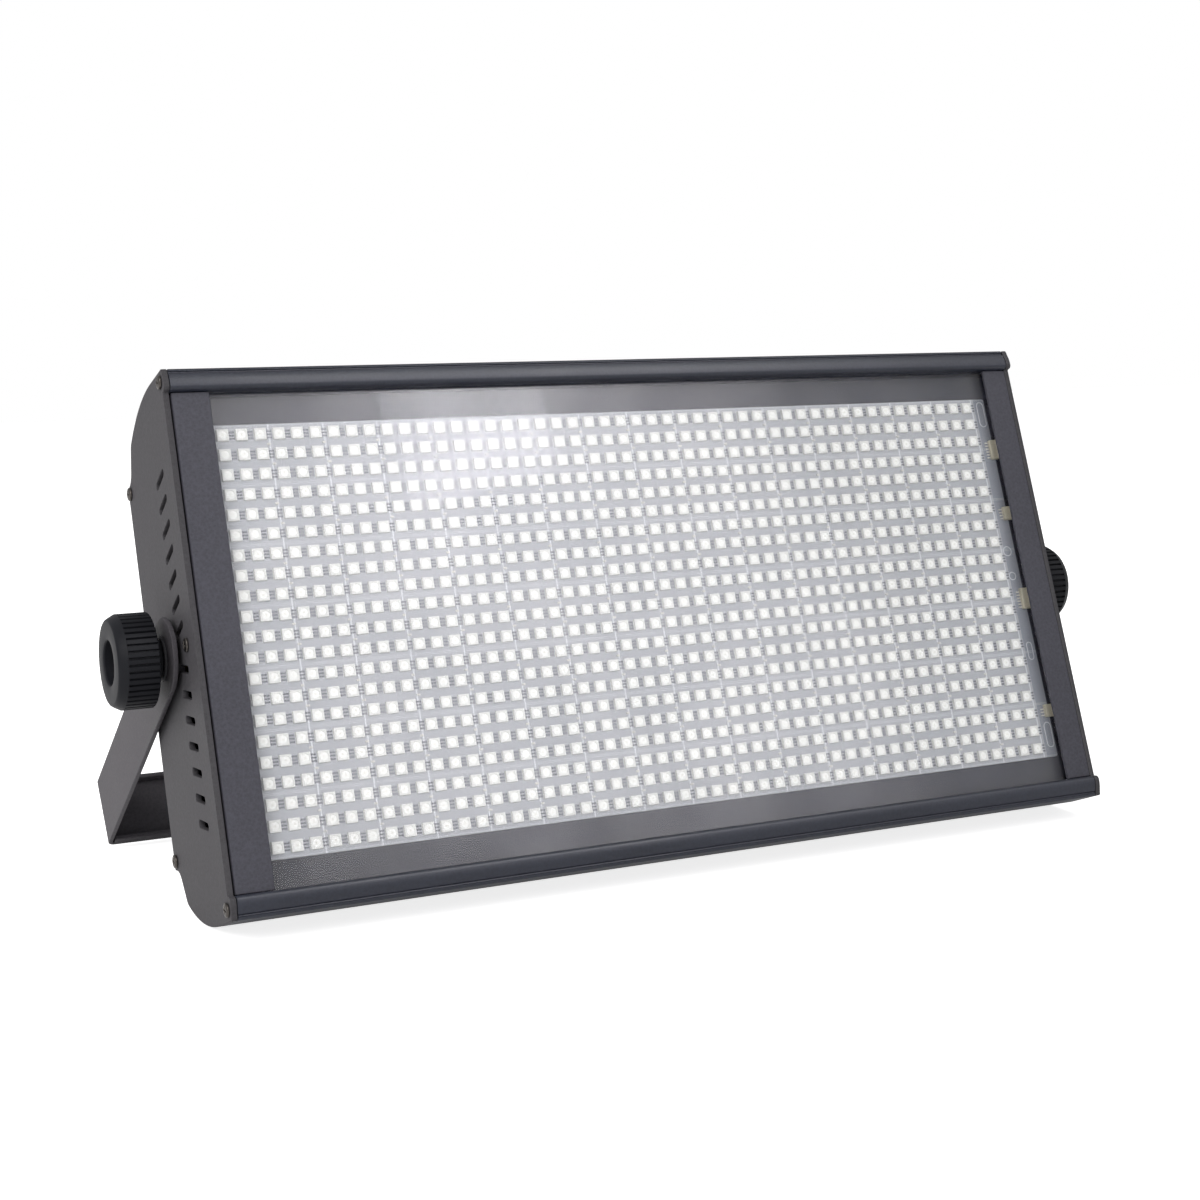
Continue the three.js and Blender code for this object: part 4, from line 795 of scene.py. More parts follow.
@dataclass
class Assembly:
    """A sub-assembly: where it is and the finishes that its pieces take theirs from."""

    place: Place
    paint: Palette

    def mesh(self, name: str, shape: Shape) -> Mesh:
        """Makes a mesh of a shape.

        Args:
            name: the mesh's name.
            shape: its bodies.

        Returns:
            The mesh, in place.
        """
        made = bpy.data.meshes.new(name)
        made.from_pydata(self.place.world(np.concatenate(shape.points)).tolist(), [], shape.faces)
        return made

    def piece(self, name: str, shape: Shape, paints: str, node: str = "", slot: str = "",
              body: str = "housing", sharp: float = SMOOTH_ANGLE) -> Object:
        """Makes a mesh object of a shape, in place, riding on its body.

        Args:
            name: the piece's name.
            shape: its bodies.
            paints: the short names of its finishes, in the order of the faces' slots.
            node: the model's node that it stands for, if any.
            slot: the record's material slot; not used.
            body: the model's body that it moves with.
            sharp: the angle above which an edge stays sharp.

        Returns:
            The new object.
        """
        mesh = self.mesh(name, shape)
        mesh.polygons.foreach_set("material_index", np.array(shape.slots, np.int32))
        mesh.set_sharp_from_angle(angle=sharp)
        mesh.polygons.foreach_set("use_smooth", ~np.array(shape.flat, bool))
        mesh.validate()
        mesh.update()
        made = new_object(name, mesh)
        for key in paints.split():
            mesh.materials.append(self.paint[key])
        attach(made, body)
        if node:
            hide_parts(node)
        LOG.info("piece %s: %d faces", name, len(mesh.polygons))
        return made


@dataclass
class Pen:
    """A point that walks along an outline and leaves points behind."""

    at: Array
    heading: float
    path: list[Array] = field(default_factory=list)

    def straight(self, length: float) -> None:
        """Walks straight on and leaves one point."""
        self.at = self.at + length * np.array([math.cos(self.heading), math.sin(self.heading)])
        self.path.append(self.at[None])

    def round(self, radius: float, heading: float, steps: int = 12) -> None:
        """Walks round an arc: its points are a radius from a centre at the pen's side.

        Args:
            radius: the arc's radius.
            heading: the new heading at its end.
            steps: how many points it leaves.
        """
        side = math.copysign(1, heading - self.heading)
        centre = self.at + side * radius * np.array([-math.sin(self.heading), math.cos(self.heading)])
        bend = np.linspace(self.heading, heading, steps + 1)[1:]
        points = centre + side * radius * np.stack([np.sin(bend), -np.cos(bend)], 1)
        self.path.append(points)
        self.at, self.heading = points[-1], heading


@dataclass(frozen=True)
class CrossScrew:
    """A pan-head screw with a cross recess."""

    sides: int = 56
    head: tuple[Pair, ...] = (
        (2.9, 0.3), (2.9, 0.7), (2.8, 0.95), (2.5, 1.15), (2.2, 1.25), (1.9, 1.32), (1.65, 1.35), (1.5, 1.37),
        (1.2, 1.38), (0.9, 1.39), (0.6, 1.4), (0.3, 1.4), (0.08, 1.4))  # radius and height of each ring
    shank: tuple[Pair, ...] = ((1.2, -12.0), (1.2, 0.3))
    arm: Pair = (0.42, 0.14)  # half width and wall of the cross
    reach: Pair = (1.7, 0.2)  # half length and wall of the cross
    sink: Pair = (0.9, 0.35)  # depth in the middle, and its loss for each millimetre outward

    def shape(self, axis: str, seat: Triple, sense: float, turn: float = 0.4) -> Shape:
        """A domed polar grid whose middle sinks where it lies within the arms of a cross, over a shank.

        Args:
            axis: "x" or "y", along which the screw stands.
            seat: the point under its head.
            sense: 1 or -1, the way that the head faces.
            turn: how far the recess is turned.

        Returns:
            The head with its shank.
        """
        radius, rise = np.array(self.head).T
        shank_radius, shank_rise = np.array(self.shank).T
        angle = np.linspace(0, TURN, self.sides, endpoint=False)
        x, y = np.outer(radius, np.cos(angle - turn)), np.outer(radius, np.sin(angle - turn))
        near, far = np.minimum(np.abs(x), np.abs(y)), np.maximum(np.abs(x), np.abs(y))
        beside = np.clip((self.arm[0] - near) / self.arm[1], 0, 1)
        deep = beside * np.clip((self.reach[0] - far) / self.reach[1], 0, 1)
        height = rise[:, None] - deep * (self.sink[0] - self.sink[1] * far)
        radius = np.concatenate([shank_radius, radius])
        along = np.concatenate([np.repeat(shank_rise[:, None], self.sides, 1), height]) * sense
        across, up = np.outer(radius, np.cos(angle)), np.outer(radius, np.sin(angle))
        order = [along, across, up] if axis == "x" else [across, along, up]
        return Shape().rings(np.stack(order, 2) + np.array(seat), flip=(axis == "y") == (sense > 0))


@dataclass
class Casing(Assembly):
    """The end plates, the two shells, the filler strips and the plates' screws."""

    half_width: float = 212.5
    half_height: float = 112.0
    depth: float = 79.5
    plate: float = 2.5
    plate_bevel: float = 0.3
    wall: float = 2.0
    window_height: float = 102.3
    setback: float = 3.0
    lip_back: float = 13.0
    roof_start: float = 22.0
    roof_radius: float = 80.0
    roof_turn: float = math.radians(30.8)
    knee: Triple = (1.5, 6.0, -math.radians(64))  # run, radius and new slope
    shoulder: Triple = (10.0, 8.5, -math.radians(8))
    below_roof: float = 60.0
    lip: float = 2.0
    bead: Pair = (1.1, 5.0)  # how far it falls back, over what height
    bead_gap: float = 0.2
    bead_points: int = 10
    rail_groove: tuple[Pair, ...] = ((1.55, 7.4), (1.9, 7.7), (1.85, 8.1))
    rail_edge: tuple[Pair, ...] = ((1.35, 8.4), (1.5, 9.0), (2.0, 9.5), (2.7, 9.7))
    glass_groove: Triple = (5.1, 8.7, 105.0)  # front, back and top
    ear: Four = (70.3, 77.7, 76.0, 83.7)  # front, back, low and high
    ear_root: Pair = (0.4, 1.2)
    plate_ear: float = 40.0
    corner: Pair = (0.6, 0.1)  # the plate's small fillet below the rail
    vent: Pair = (14.2, 3.2)  # length and width
    vent_depth: float = 24.5
    vent_first: float = 8.0
    vent_pitch: float = 10.6
    vent_rows: int = 7
    vent_lean: float = math.radians(15)
    stud_depth: float = 40.4
    corner_screws: tuple[tuple[str, float, float], ...] = (("front", 4.85, 107.1), ("rear", 75.6, 80.0))
    middle_screw: float = 14.8
    filler_inner: Pair = (193.3, 197.0)  # left and right
    filler_outer: Pair = (209.2, 209.9)
    filler_fold: Pair = (1.0, 0.4)
    filler_return: float = 4.5
    filler_back: float = 11.2
    filler_wall: float = 1.5
    filler_edge: float = 0.25
    end_bevel: Pair = (0.3, 0.2)  # length and tuck of the shells' ends
    filler_bevel: Pair = (0.2, 0.15)

    def build(self) -> None:
        """Makes every piece of the casing."""
        for number, (label, side) in enumerate(SIDES):
            self._end_plate(label, side)
            self._filler(label, side, number)
            self._screws(label, side)
        for label, side in LEVELS:
            self._shell(label, side)

    def _roof(self) -> Array:
        """The roof behind the rail: an arc, a knee, a shoulder and the rear ear, each tangent to the next.

        Returns:
            Its (depth, height) points.
        """
        middle = self.half_height - self.roof_radius
        top = arc(self.roof_start, middle, self.roof_radius, QUARTER, QUARTER - self.roof_turn, 32)
        pen = Pen(top[-1], -self.roof_turn)
        for run, radius, slope in (self.knee, self.shoulder):
            pen.straight(run)
            pen.round(radius, slope)
        pen.straight((self.depth - pen.at[0]) / math.cos(pen.heading))
        return np.concatenate([top, *pen.path])

    def _rail_front(self, grooved: bool) -> Array:
        """The rail's front, from its lower edge up to the roof: a round lip, a bead that falls back with the
        square of the height and, on the shells, a shallow groove below the slanted top edge.

        Args:
            grooved: whether it has the groove and all the bead's points.

        Returns:
            Its (depth, height) points.
        """
        base = np.array([0.0, self.window_height])
        lip = arc(self.lip, self.window_height + self.lip, self.lip, 3 * QUARTER, math.pi, 8)
        fall, tall = self.bead
        rise = np.linspace(tall / self.bead_points, tall, self.bead_points)
        bead = base + np.stack([fall * (rise / tall) ** 2, self.lip + self.bead_gap + rise], 1)
        groove, edge = base + self.rail_groove, base + self.rail_edge
        return np.concatenate([lip, bead, groove, edge] if grooved else [lip, bead[2::3], edge])

    def _end_plate(self, label: str, side: int) -> None:
        """One end plate: the housing's outline with fourteen slanted vents and a hole for the stud.

        Args:
            label, side: "left" and -1, or "right" and 1.
        """
        down, back = self.corner
        front = np.concatenate([
            [[self.setback, 0], [self.setback, self.window_height - down]],
            [[self.setback - 2 * back, self.window_height - back]], self._rail_front(False)[:-1]])
        half = np.concatenate([front, self._roof(), [[self.depth, self.plate_ear]]])
        outline = np.concatenate([half, (half * [1, -1])[::-1][:-1]])
        vents = [stadium(self.vent_depth, up * (self.vent_first + self.vent_pitch * row), *self.vent,
                         -up * self.vent_lean, 10) for up in (-1, 1) for row in range(self.vent_rows)]
        stud = ring(self.stud_depth, 0, STUD_HOLE, 32)
        low, high = ordered(side, self.half_width, self.half_width - self.plate)
        shape = Shape().slab("x", outline, [*vents, stud], low, high, self.plate_bevel)
        self.piece(label + "_vented_end_plate", shape, "side", label + "_end_plate", "side_powder_coat")

    def _shell(self, label: str, side: int) -> None:
        """One shell: its cross-section carried along x, with softened ends.

        Args:
            label, side: "top" and 1, or "bottom" and -1.
        """
        ear_front, ear_back, ear_low, ear_high = self.ear
        gap, root = self.ear_root
        roof = self._roof()
        outer = np.concatenate([self._rail_front(True), roof[roof[:, 0] < ear_back], [[ear_back, ear_high]]])
        below = [[self.depth, self.below_roof], [self.roof_start, self.below_roof]]
        inner = inset(np.concatenate([roof, below]), -self.wall)[:len(roof)]
        inner = inner[(inner[:, 0] > self.lip_back) & (inner[:, 0] < ear_front - gap)]
        hidden = np.array([[ear_back, ear_low], [ear_front, ear_low], [ear_front, inner[-1, 1] - root]])
        front, back, top = self.glass_groove
        lip = np.array([
            [self.lip_back, self.half_height - self.wall], [self.lip_back, self.window_height],
            [back, self.window_height], [back, top], [front, top], [front, self.window_height]])
        outline = anticlockwise(np.concatenate([outer, hidden, inner[::-1], lip]) * [1, side])
        end = self.half_width - self.plate - SEAT
        shape = Shape().rings(softened(outline, "x", -end, end, *self.end_bevel))
        self.piece(label + "_rail_and_roof", shape, "rail", label + "_shell", "black_powder_coat")

    def _filler(self, label: str, side: int, number: int) -> None:
        """One filler strip: a bent sheet with rounded folds, standing between the rails.

        Args:
            label, side: "left" and -1, or "right" and 1.
            number: which of each pair of sizes is this side's.
        """
        outer, inner, fold = self.filler_outer[number], self.filler_inner[number], self.filler_fold[number]
        wall, edge = outer - self.filler_wall, self.filler_edge
        loop = anticlockwise(np.concatenate([
            [[inner, self.filler_return], [inner, self.setback + edge], [inner + edge, self.setback]],
            arc(outer - fold, self.setback + fold, fold, -QUARTER, 0, 6),
            [[outer, self.filler_back], [wall, self.filler_back], [wall, self.filler_return]]]) * [side, 1])
        high = self.window_height - SEAT
        shape = Shape().rings(softened(loop, "z", -high, high, *self.filler_bevel))
        self.piece(label + "_window_filler", shape, "filler", label + "_filler_strip", "black_powder_coat")

    def _screws(self, label: str, side: int) -> None:
        """The five screws of one end plate, each with a cross recess.

        Args:
            label, side: "left" and -1, or "right" and 1.
        """
        spots = {f"{spot}_{level}": (depth, up * height)
                 for spot, depth, height in self.corner_screws for level, up in LEVELS}
        for spot, (depth, height) in (spots | {"middle": (self.middle_screw, 0.0)}).items():
            shape = CrossScrew().shape("x", (side * self.half_width, depth, height), side)
            where = f"{label}_{spot}"
            self.piece(where + "_cross_screw", shape, "screw", where + "_screw", "nickel_screws")


@dataclass
class Window(Assembly):
    """The clear pane and the cushions in the rails' grooves."""

    ends: Pair = (-198.0, 199.0)
    half_height: float = 103.4
    front: float = 5.4
    thickness: float = 3.0
    bevel: float = 0.3
    cushion: float = 0.9
    cushion_bevel: float = 0.2

    def build(self) -> None:
        """Makes the pane and its two cushions."""
        back = self.front + self.thickness
        tall = self.half_height
        left, right = self.ends
        pane = Shape().block((left, self.front, -tall), (right, back, tall), self.bevel)
        self.piece("clear_front_pane", pane, "pane", "front_glass", "clear_glass")
        for label, side in LEVELS:
            low, high = ordered(side, tall + SEAT, tall + SEAT + self.cushion)
            strip = Shape().block((left, self.front, low), (right, back, high), self.cushion_bevel)
            self.piece(label + "_rubber_strip", strip, "rubber", label + "_glass_cushion", "rubber")


@dataclass
class LampDeck(Assembly):
    """The lamp board with its lamps, small chips and edge plugs, and the tray behind it."""

    columns: int = 48
    rows: int = 21
    group: int = 3
    pitch_x: float = 8.0
    pitch_z: float = 8.54
    front: float = 10.0
    top: float = 11.6
    thickness: float = 1.6
    sink: float = 0.01  # how deep small parts stand in the board's face
    half_width: float = 200.0
    half_height: float = 90.0
    board_corner: float = 1.0
    board_bevel: float = 0.15
    lamp: float = 2.5
    lamp_taper: float = 0.08
    well: float = 1.9
    lens: Pair = (1.7, 0.16)  # radius and depth
    die: Pair = (0.5, 0.12)
    sides: int = 12
    lamp_sharp: float = math.radians(25)
    slot: str = "white_board"
    chip_shifts: tuple[tuple[int, float], ...] = ((1, 0.6), (2, -0.6))
    chip_parts: tuple[tuple[float, float, int], ...] = ((-0.8, -0.5, 1), (-0.49, 0.49, 0), (0.5, 0.8, 1))
    chip_size: Triple = (0.55, 0.4, 0.06)  # height, half width and bevel
    plugs: tuple[Pair, ...] = ((63.4, 9.6), (30.8, 6.6), (-12.2, 10.2), (-67.9, 6.0))
    plug_ends: Pair = (196.9, 201.4)
    plug_front: float = 9.4
    plug_bevel: float = 0.3
    pin_start: float = 195.2
    pin_front: float = 10.9
    pin_pitch: float = 1.5
    pin_margins: Pair = (1.0, 0.6)
    pin_half: float = 0.3
    pin_bevel: float = 0.08
    outlines: tuple[tuple[float, ...], ...] = (
        (197.3, -79.3, 12.4, 4.2), (197.0, 82.0, 13.0, 4.2), (195.4, 12.0, 2.5), (195.4, -0.5, 2.1),
        (196.6, -38.0, 9.0, 3.4))  # the middle, then a slot's length and width or a ring's radius
    outline_width: float = 0.42
    ink: Pair = (0.07, 0.01)  # height and bevel
    tray: Four = (209.7, 109.7, 13.5, 15.5)  # half width, half height, front, back
    tab: Four = (203.7, 4.5, 11.5, 13.6)  # inner end, half height, front, back
    tray_bevel: float = 0.3

    def build(self) -> None:
        """Makes the board, the lamps, the chips, the plugs, the printed outlines and the tray."""
        self._board()
        self._lamps()
        self._chips()
        self._plugs()
        self._outlines()
        self._tray()

    def _centres(self) -> Array:
        """The lamps' middles.

        Returns:
            Their (x, height) points, row by row.
        """
        x = (np.arange(self.columns) - (self.columns - 1) / 2) * self.pitch_x
        z = (np.arange(self.rows) - (self.rows - 1) / 2) * self.pitch_z
        return np.stack([g.ravel() for g in np.meshgrid(x, z)], 1)

    def _board(self) -> None:
        """The bare board, with a UV map that counts the lamps from its lower left."""
        outline = centred(self.half_width, self.half_height, self.board_corner)
        shape = Shape().slab("y", outline, [], self.top, self.top + self.thickness, self.board_bevel)
        board = self.piece("printed_lamp_board", shape, "board", "lamp_board", self.slot)
        corner = np.zeros(len(board.data.loops), np.int32)
        board.data.loops.foreach_get("vertex_index", corner)
        flat = np.concatenate(shape.points)[corner]
        u = flat[:, 0] / self.pitch_x + self.columns / 2
        v = flat[:, 2] / self.pitch_z + self.rows / 2
        uv = np.stack([u, v], 1).astype(np.float32).ravel()
        board.data.uv_layers.new(name="lamp_count").data.foreach_set("uv", uv)

    def _lamps(self) -> None:
        """All lamps as one piece. Each is a low square frame round a shallow well whose floor is the lens:
        the square's points are the circle's points pushed out to the square along their own direction."""
        angle = np.linspace(0, TURN, self.sides, endpoint=False) + TURN / self.sides / 2
        circle = np.stack([np.cos(angle), np.sin(angle)], 1)
        square = circle / np.abs(circle).max(1, keepdims=True)
        steps = [(square * self.lamp, self.top - self.sink),
                 (square * (self.lamp - self.lamp_taper), self.front), (circle * self.well, self.front),
                 (circle * self.lens[0], self.front + self.lens[1]),
                 (circle * self.die[0], self.front + self.die[1])]
        one = np.concatenate([carry(loop, "y", depth) for loop, depth in steps])
        rows, n = len(steps), self.sides
        faces = grid_faces(rows, n).tolist() + [list(range(n))[::-1], list(range((rows - 1) * n, rows * n))]
        slots = [0] * (n * (rows - 2)) + [1] * n + [0, 2]
        centres = self._centres()
        offset = np.stack([centres[:, 0], np.zeros(len(centres)), centres[:, 1]], 1)
        points = (one[None] + offset[:, None]).reshape(-1, 3)
        starts = (np.arange(len(centres)) * len(one)).tolist()
        everything = [[i + start for i in face] for start in starts for face in faces]
        shape = Shape().add(points, everything, slots * len(centres))
        self.piece("square_lamps", shape, "lamp lens die", slot=self.slot, sharp=self.lamp_sharp)

    def _chips(self) -> None:
        """Small pale chips between the groups of lamps, with bright ends."""
        height, half, bevel = self.chip_size
        shape = Shape()
        for k in range(1, self.columns // self.group):
            for m in range(self.rows // self.group):
                for step, shift in self.chip_shifts:
                    x = (self.group * k - self.columns / 2) * self.pitch_x + shift
                    z = (self.group * m + step - self.rows / 2) * self.pitch_z
                    for low, high, slot in self.chip_parts:
                        shape.block((x + low, self.top - height, z - half),
                                    (x + high, self.top - self.sink, z + half), bevel, slot)
        self.piece("board_chips", shape, "chip lamp", slot=self.slot)

    def _plugs(self) -> None:
        """The pale plugs that stand over the board's right edge, with their pins."""
        start, end = self.plug_ends
        first, last = self.pin_margins
        back = self.top - self.sink
        shape = Shape()
        for z, length in self.plugs:
            half = length / 2
            shape.block((start, self.plug_front, z - half), (end, back, z + half), self.plug_bevel)
            for pin in z + np.arange(first - half, half - last, self.pin_pitch):
                shape.block((self.pin_start, self.pin_front, pin - self.pin_half),
                            (start, back - self.sink, pin + self.pin_half), self.pin_bevel, 1)
        self.piece("edge_plugs", shape, "plug chip", slot=self.slot)

    def _outlines(self) -> None:
        """Printed outlines in the board's right margin: each loop and the same loop moved inward."""
        height, bevel = self.ink
        shape = Shape()
        for sizes in self.outlines:
            loop = ring(*sizes, 32) if len(sizes) == 3 else stadium(*sizes, QUARTER, 10)
            hole = inset(loop, self.outline_width)
            shape.slab("y", loop, [hole], self.top - height, self.top - self.sink, bevel)
        self.piece("margin_outlines", shape, "ink", slot=self.slot)

    def _tray(self) -> None:
        """The black tray with softened edges and a tab at each side."""
        half_width, half_height, front, back = self.tray
        inner, tab_half, tab_front, tab_back = self.tab
        shape = Shape().block((-half_width, front, -half_height), (half_width, back, half_height),
                              self.tray_bevel)
        for _, side in SIDES:
            low, high = ordered(side, inner, half_width)
            shape.block((low, tab_front, -tab_half), (high, tab_back, tab_half), self.tray_bevel)
        self.piece("glossy_tray", shape, "tray", "lamp_tray", "black_powder_coat")


@dataclass(frozen=True)
class Disc:
    """One kind of flat ring round a stud."""

    name: str
    node: str
    paint: str
    slot: str
    radius: float
    low: float
    high: float
    travels: bool = False
    bevel: float = 0.2
    sides: int = 64

    def profile(self) -> list[Pair]:
        """Its cross-section.

        Returns:
            (radius, distance) points, the last one the same as the first.
        """
        edge = self.radius - self.bevel
        return [(STUD_HOLE, self.low), (edge, self.low), (self.radius, self.low + self.bevel),
                (self.radius, self.high - self.bevel), (edge, self.high), (STUD_HOLE, self.high),
                (STUD_HOLE, self.low)]


@dataclass
class ClampKnobs(Assembly):
    """The two ribbed knobs with their washers."""

    face: float = 212.5
    depth: float = 40.4
    ribs: int = 44
    rib_steps: int = 10
    sharp: float = math.radians(28)
    valley: Triple = (1.05, 0.61, 0.18)  # depth, start and wall as shares of half a pitch
    discs: tuple[Disc, ...] = (
        # the plain washer is painted dark as shade between the knob and the arm
        Disc("plain_washer", "clamp_washer", "washer", "zinc_steel", 9.5, 4.3, 5.5, True),
        Disc("friction_disc", "friction_washer", "rubber", "rubber", 12.0, 0.3, 1.7))
    profile: tuple[Triple, ...] = (
        (2.0, 5.8, 0), (8.3, 5.8, 0), (8.6, 6.1, 0), (8.6, 9.2, 0), (9.0, 9.6, 0), (17.6, 9.6, 0),
        (18.7, 9.6, 0), (19.4, 9.7, 0.7), (19.7, 10.1, 1), (19.7, 13.5, 1), (19.7, 16.5, 1),
        (19.7, 19.5, 1), (19.7, 22.3, 1), (19.7, 22.45, 0), (19.55, 22.8, 0), (18.3, 25.1, 0),
        (17.75, 25.9, 0), (17.3, 26.2, 0), (16.8, 26.3, 0), (13.0, 26.3, 0), (10.2, 26.3, 0),
        (9.6, 26.1, 0), (9.3, 25.6, 0), (9.3, 21.0, 0), (9.1, 17.6, 0), (8.6, 17.3, 0),
        (2.0, 17.3, 0))  # radius, distance and how far the ribs stand

    def build(self) -> None:
        """Makes the knobs and the discs under them."""
        for label, side in SIDES:
            self._knob(label, side)
            centre = (side * self.face, self.depth, 0.0)
            for disc in self.discs:
                shape = Shape().turned("x", centre, disc.profile(), disc.sides, side).joined_ends(disc.sides)
                self.piece(f"{label}_{disc.name}", shape, disc.paint, f"{label}_{disc.node}", disc.slot,
                           label + "_clamp" if disc.travels else "housing")

    def _knob(self, label: str, side: int) -> None:
        """One knob: rings whose radius drops by a fixed depth between the ribs, in a band that takes up the
        last part of each rib's pitch, wherever the profile says that the ribs stand.

        Args:
            label, side: "left" and -1, or "right" and 1.
        """
        radius, far, ribbed = np.array(self.profile).T
        deep, start, wall = self.valley
        angle = np.linspace(0, TURN, self.ribs * self.rib_steps, endpoint=False)
        away = np.abs(angle * self.ribs / TURN % 1 - 0.5) * 2
        reach = radius[:, None] - deep * ribbed[:, None] * np.clip((away - start) / wall, 0, 1)[None]
        along = np.repeat(far[:, None], len(angle), 1) * side
        points = np.stack([along, reach * np.cos(angle), reach * np.sin(angle)], 2)
        points = points + np.array((side * self.face, self.depth, 0.0))
        shape = Shape().rings(points, flip=side < 0)
        self.piece(label + "_ribbed_knob", shape, "knob", label + "_clamp_knob", "black_plastic",
                   label + "_knob", self.sharp)


@dataclass
class Yoke(Assembly):
    """The bent yoke: one strip with round arm ends, and the bar's two flanges."""

    outer: float = 216.5
    thickness: float = 2.0
    half: float = 16.0
    length: float = 156.7
    end_offset: float = 2.0
    bend: float = 3.2
    edge: float = 0.45
    end_angles: tuple[int, ...] = (4, 12, 20, 30, 40, 50, 60, 70, 80, 90)  # degrees round a free end
    narrow: float = 0.5  # the half width below which the edges aren't rounded
    flange: float = 6.0
    flange_ends: float = 0.9
    flange_sink: Pair = (0.02, 0.01)  # in the bar, and within the arms' width
    flange_cuts: Four = (0.3, 0.4, 1.0, 0.1)  # inner and outer foot, and the root's run and rise
    flange_bevel: Pair = (0.3, 0.2)  # length and tuck of its ends
    holes: tuple[Pair, ...] = ((0.0, 6.5), (-60.0, 4.5), (60.0, 4.5))  # place along the bar, radius
    hole_reach: Pair = (4.0, 2.0)
    flat_area: float = 4e-4

    def build(self) -> None:
        """Carries a rounded strip section along the U, narrows it at the free ends, adds the flanges and
        bores the holes."""
        shape = Shape().rings(self._strip(), flip=True)
        strip = self.piece("bent_yoke", shape, "yoke", "yoke", "side_powder_coat", "yoke")
        low, high = self.length - self.hole_reach[0], self.length + self.hole_reach[1]
        tools = [(Shape().rings(self._flange(side)), "UNION") for _, side in SIDES]
        tools += [(Shape().turned("y", (x, 0, 0), [(radius, low), (radius, high)]), "DIFFERENCE")
                  for x, radius in self.holes]
        across = self.outer + self.thickness
        bore = Shape().turned("x", (0, 0, 0), [(STUD_HOLE, -across), (STUD_HOLE, across)])
        tools = [(new_object("tool", self.mesh("tool", tool)), operation)
                 for tool, operation in [*tools, (bore, "DIFFERENCE")]]
        for tool, operation in tools:
            cut = strip.modifiers.new(operation.lower(), "BOOLEAN")
            cut.operation, cut.object, cut.solver = operation, tool, "EXACT"
        finished = baked(strip)
        for tool, _ in tools:
            bpy.data.objects.remove(tool)
        area = np.zeros(len(finished.polygons), np.float32)
        finished.polygons.foreach_get("area", area)
        finished.polygons.foreach_set("use_smooth", area < self.flat_area)

    def _strip(self) -> Array:
        """The strip: its middle line is an arm, a quarter bend, the bar, a bend and the other arm, and its
        half width at a free end is the height of a half circle.

        Returns:
            A ring of points at each point of the middle line.
        """
        radius = self.bend - self.thickness / 2
        middle, far = self.outer - self.thickness / 2, self.length - self.thickness / 2
        phi = np.radians(self.end_angles)
        turn = arc(middle - radius, far - radius, radius, 0, QUARTER, 5)
        arm = np.stack([np.full(len(phi), middle), -self.end_offset - self.half * np.cos(phi)], 1)
        path = np.concatenate([arm, turn])
        path = np.concatenate([path, (path * [-1, 1])[::-1]])
        width = np.concatenate([self.half * np.sin(phi), np.full(len(turn), self.half)])
        width = np.concatenate([width, width[::-1]])[:, None]
        ahead = np.gradient(path, axis=0)
        ahead /= np.linalg.norm(ahead, axis=1, keepdims=True)
        outward = np.stack([ahead[:, 1], -ahead[:, 0]], 1)
        share, offset, thick = self._section().T
        across = share * width + offset
        across = np.where(width < self.narrow, share * width, across)
        x = path[:, 0:1] + outward[:, 0:1] * thick
        y = path[:, 1:2] + outward[:, 1:2] * thick
        return np.stack([x, y, across], 2)

    def _section(self) -> Array:
        """The strip's cross-section, with a quarter circle at each corner.

        Returns:
            (share of the half width, offset across, offset outward) points.
        """
        flat = self.thickness / 2 - self.edge
        corners = []
        for k, (share, sign) in enumerate(((1, 1), (-1, 1), (-1, -1), (1, -1))):
            quarter = arc(0, 0, self.edge, k * QUARTER, (k + 1) * QUARTER, 3)
            corners.append(np.stack([np.full(4, share), quarter[:, 0] - share * self.edge,
                                     quarter[:, 1] + sign * flat], 1))
        return np.concatenate(corners)

    def _flange(self, side: int) -> Array:
        """One flange of the bar: a folded edge with a rounded outer fold and slightly rounded ends.

        Args:
            side: 1 or -1.

        Returns:
            Its four rings.
        """
        sunk, within = self.flange_sink
        inner_cut, outer_cut, run, rise = self.flange_cuts
        inside, outside = self.half - self.thickness, self.half - within
        top, foot = self.length - sunk, self.length - self.flange
        loop = np.array([
            [foot, inside + inner_cut], [foot + inner_cut, inside], [top - run, inside], [top, inside + rise],
            [top, self.half - self.edge], [top - self.edge, outside], [foot + outer_cut, outside],
            [foot, self.half - outer_cut]])
        reach = self.outer - self.thickness - self.flange_ends
        return softened(anticlockwise(loop * [1, side]), "x", -reach, reach, *self.flange_bevel)


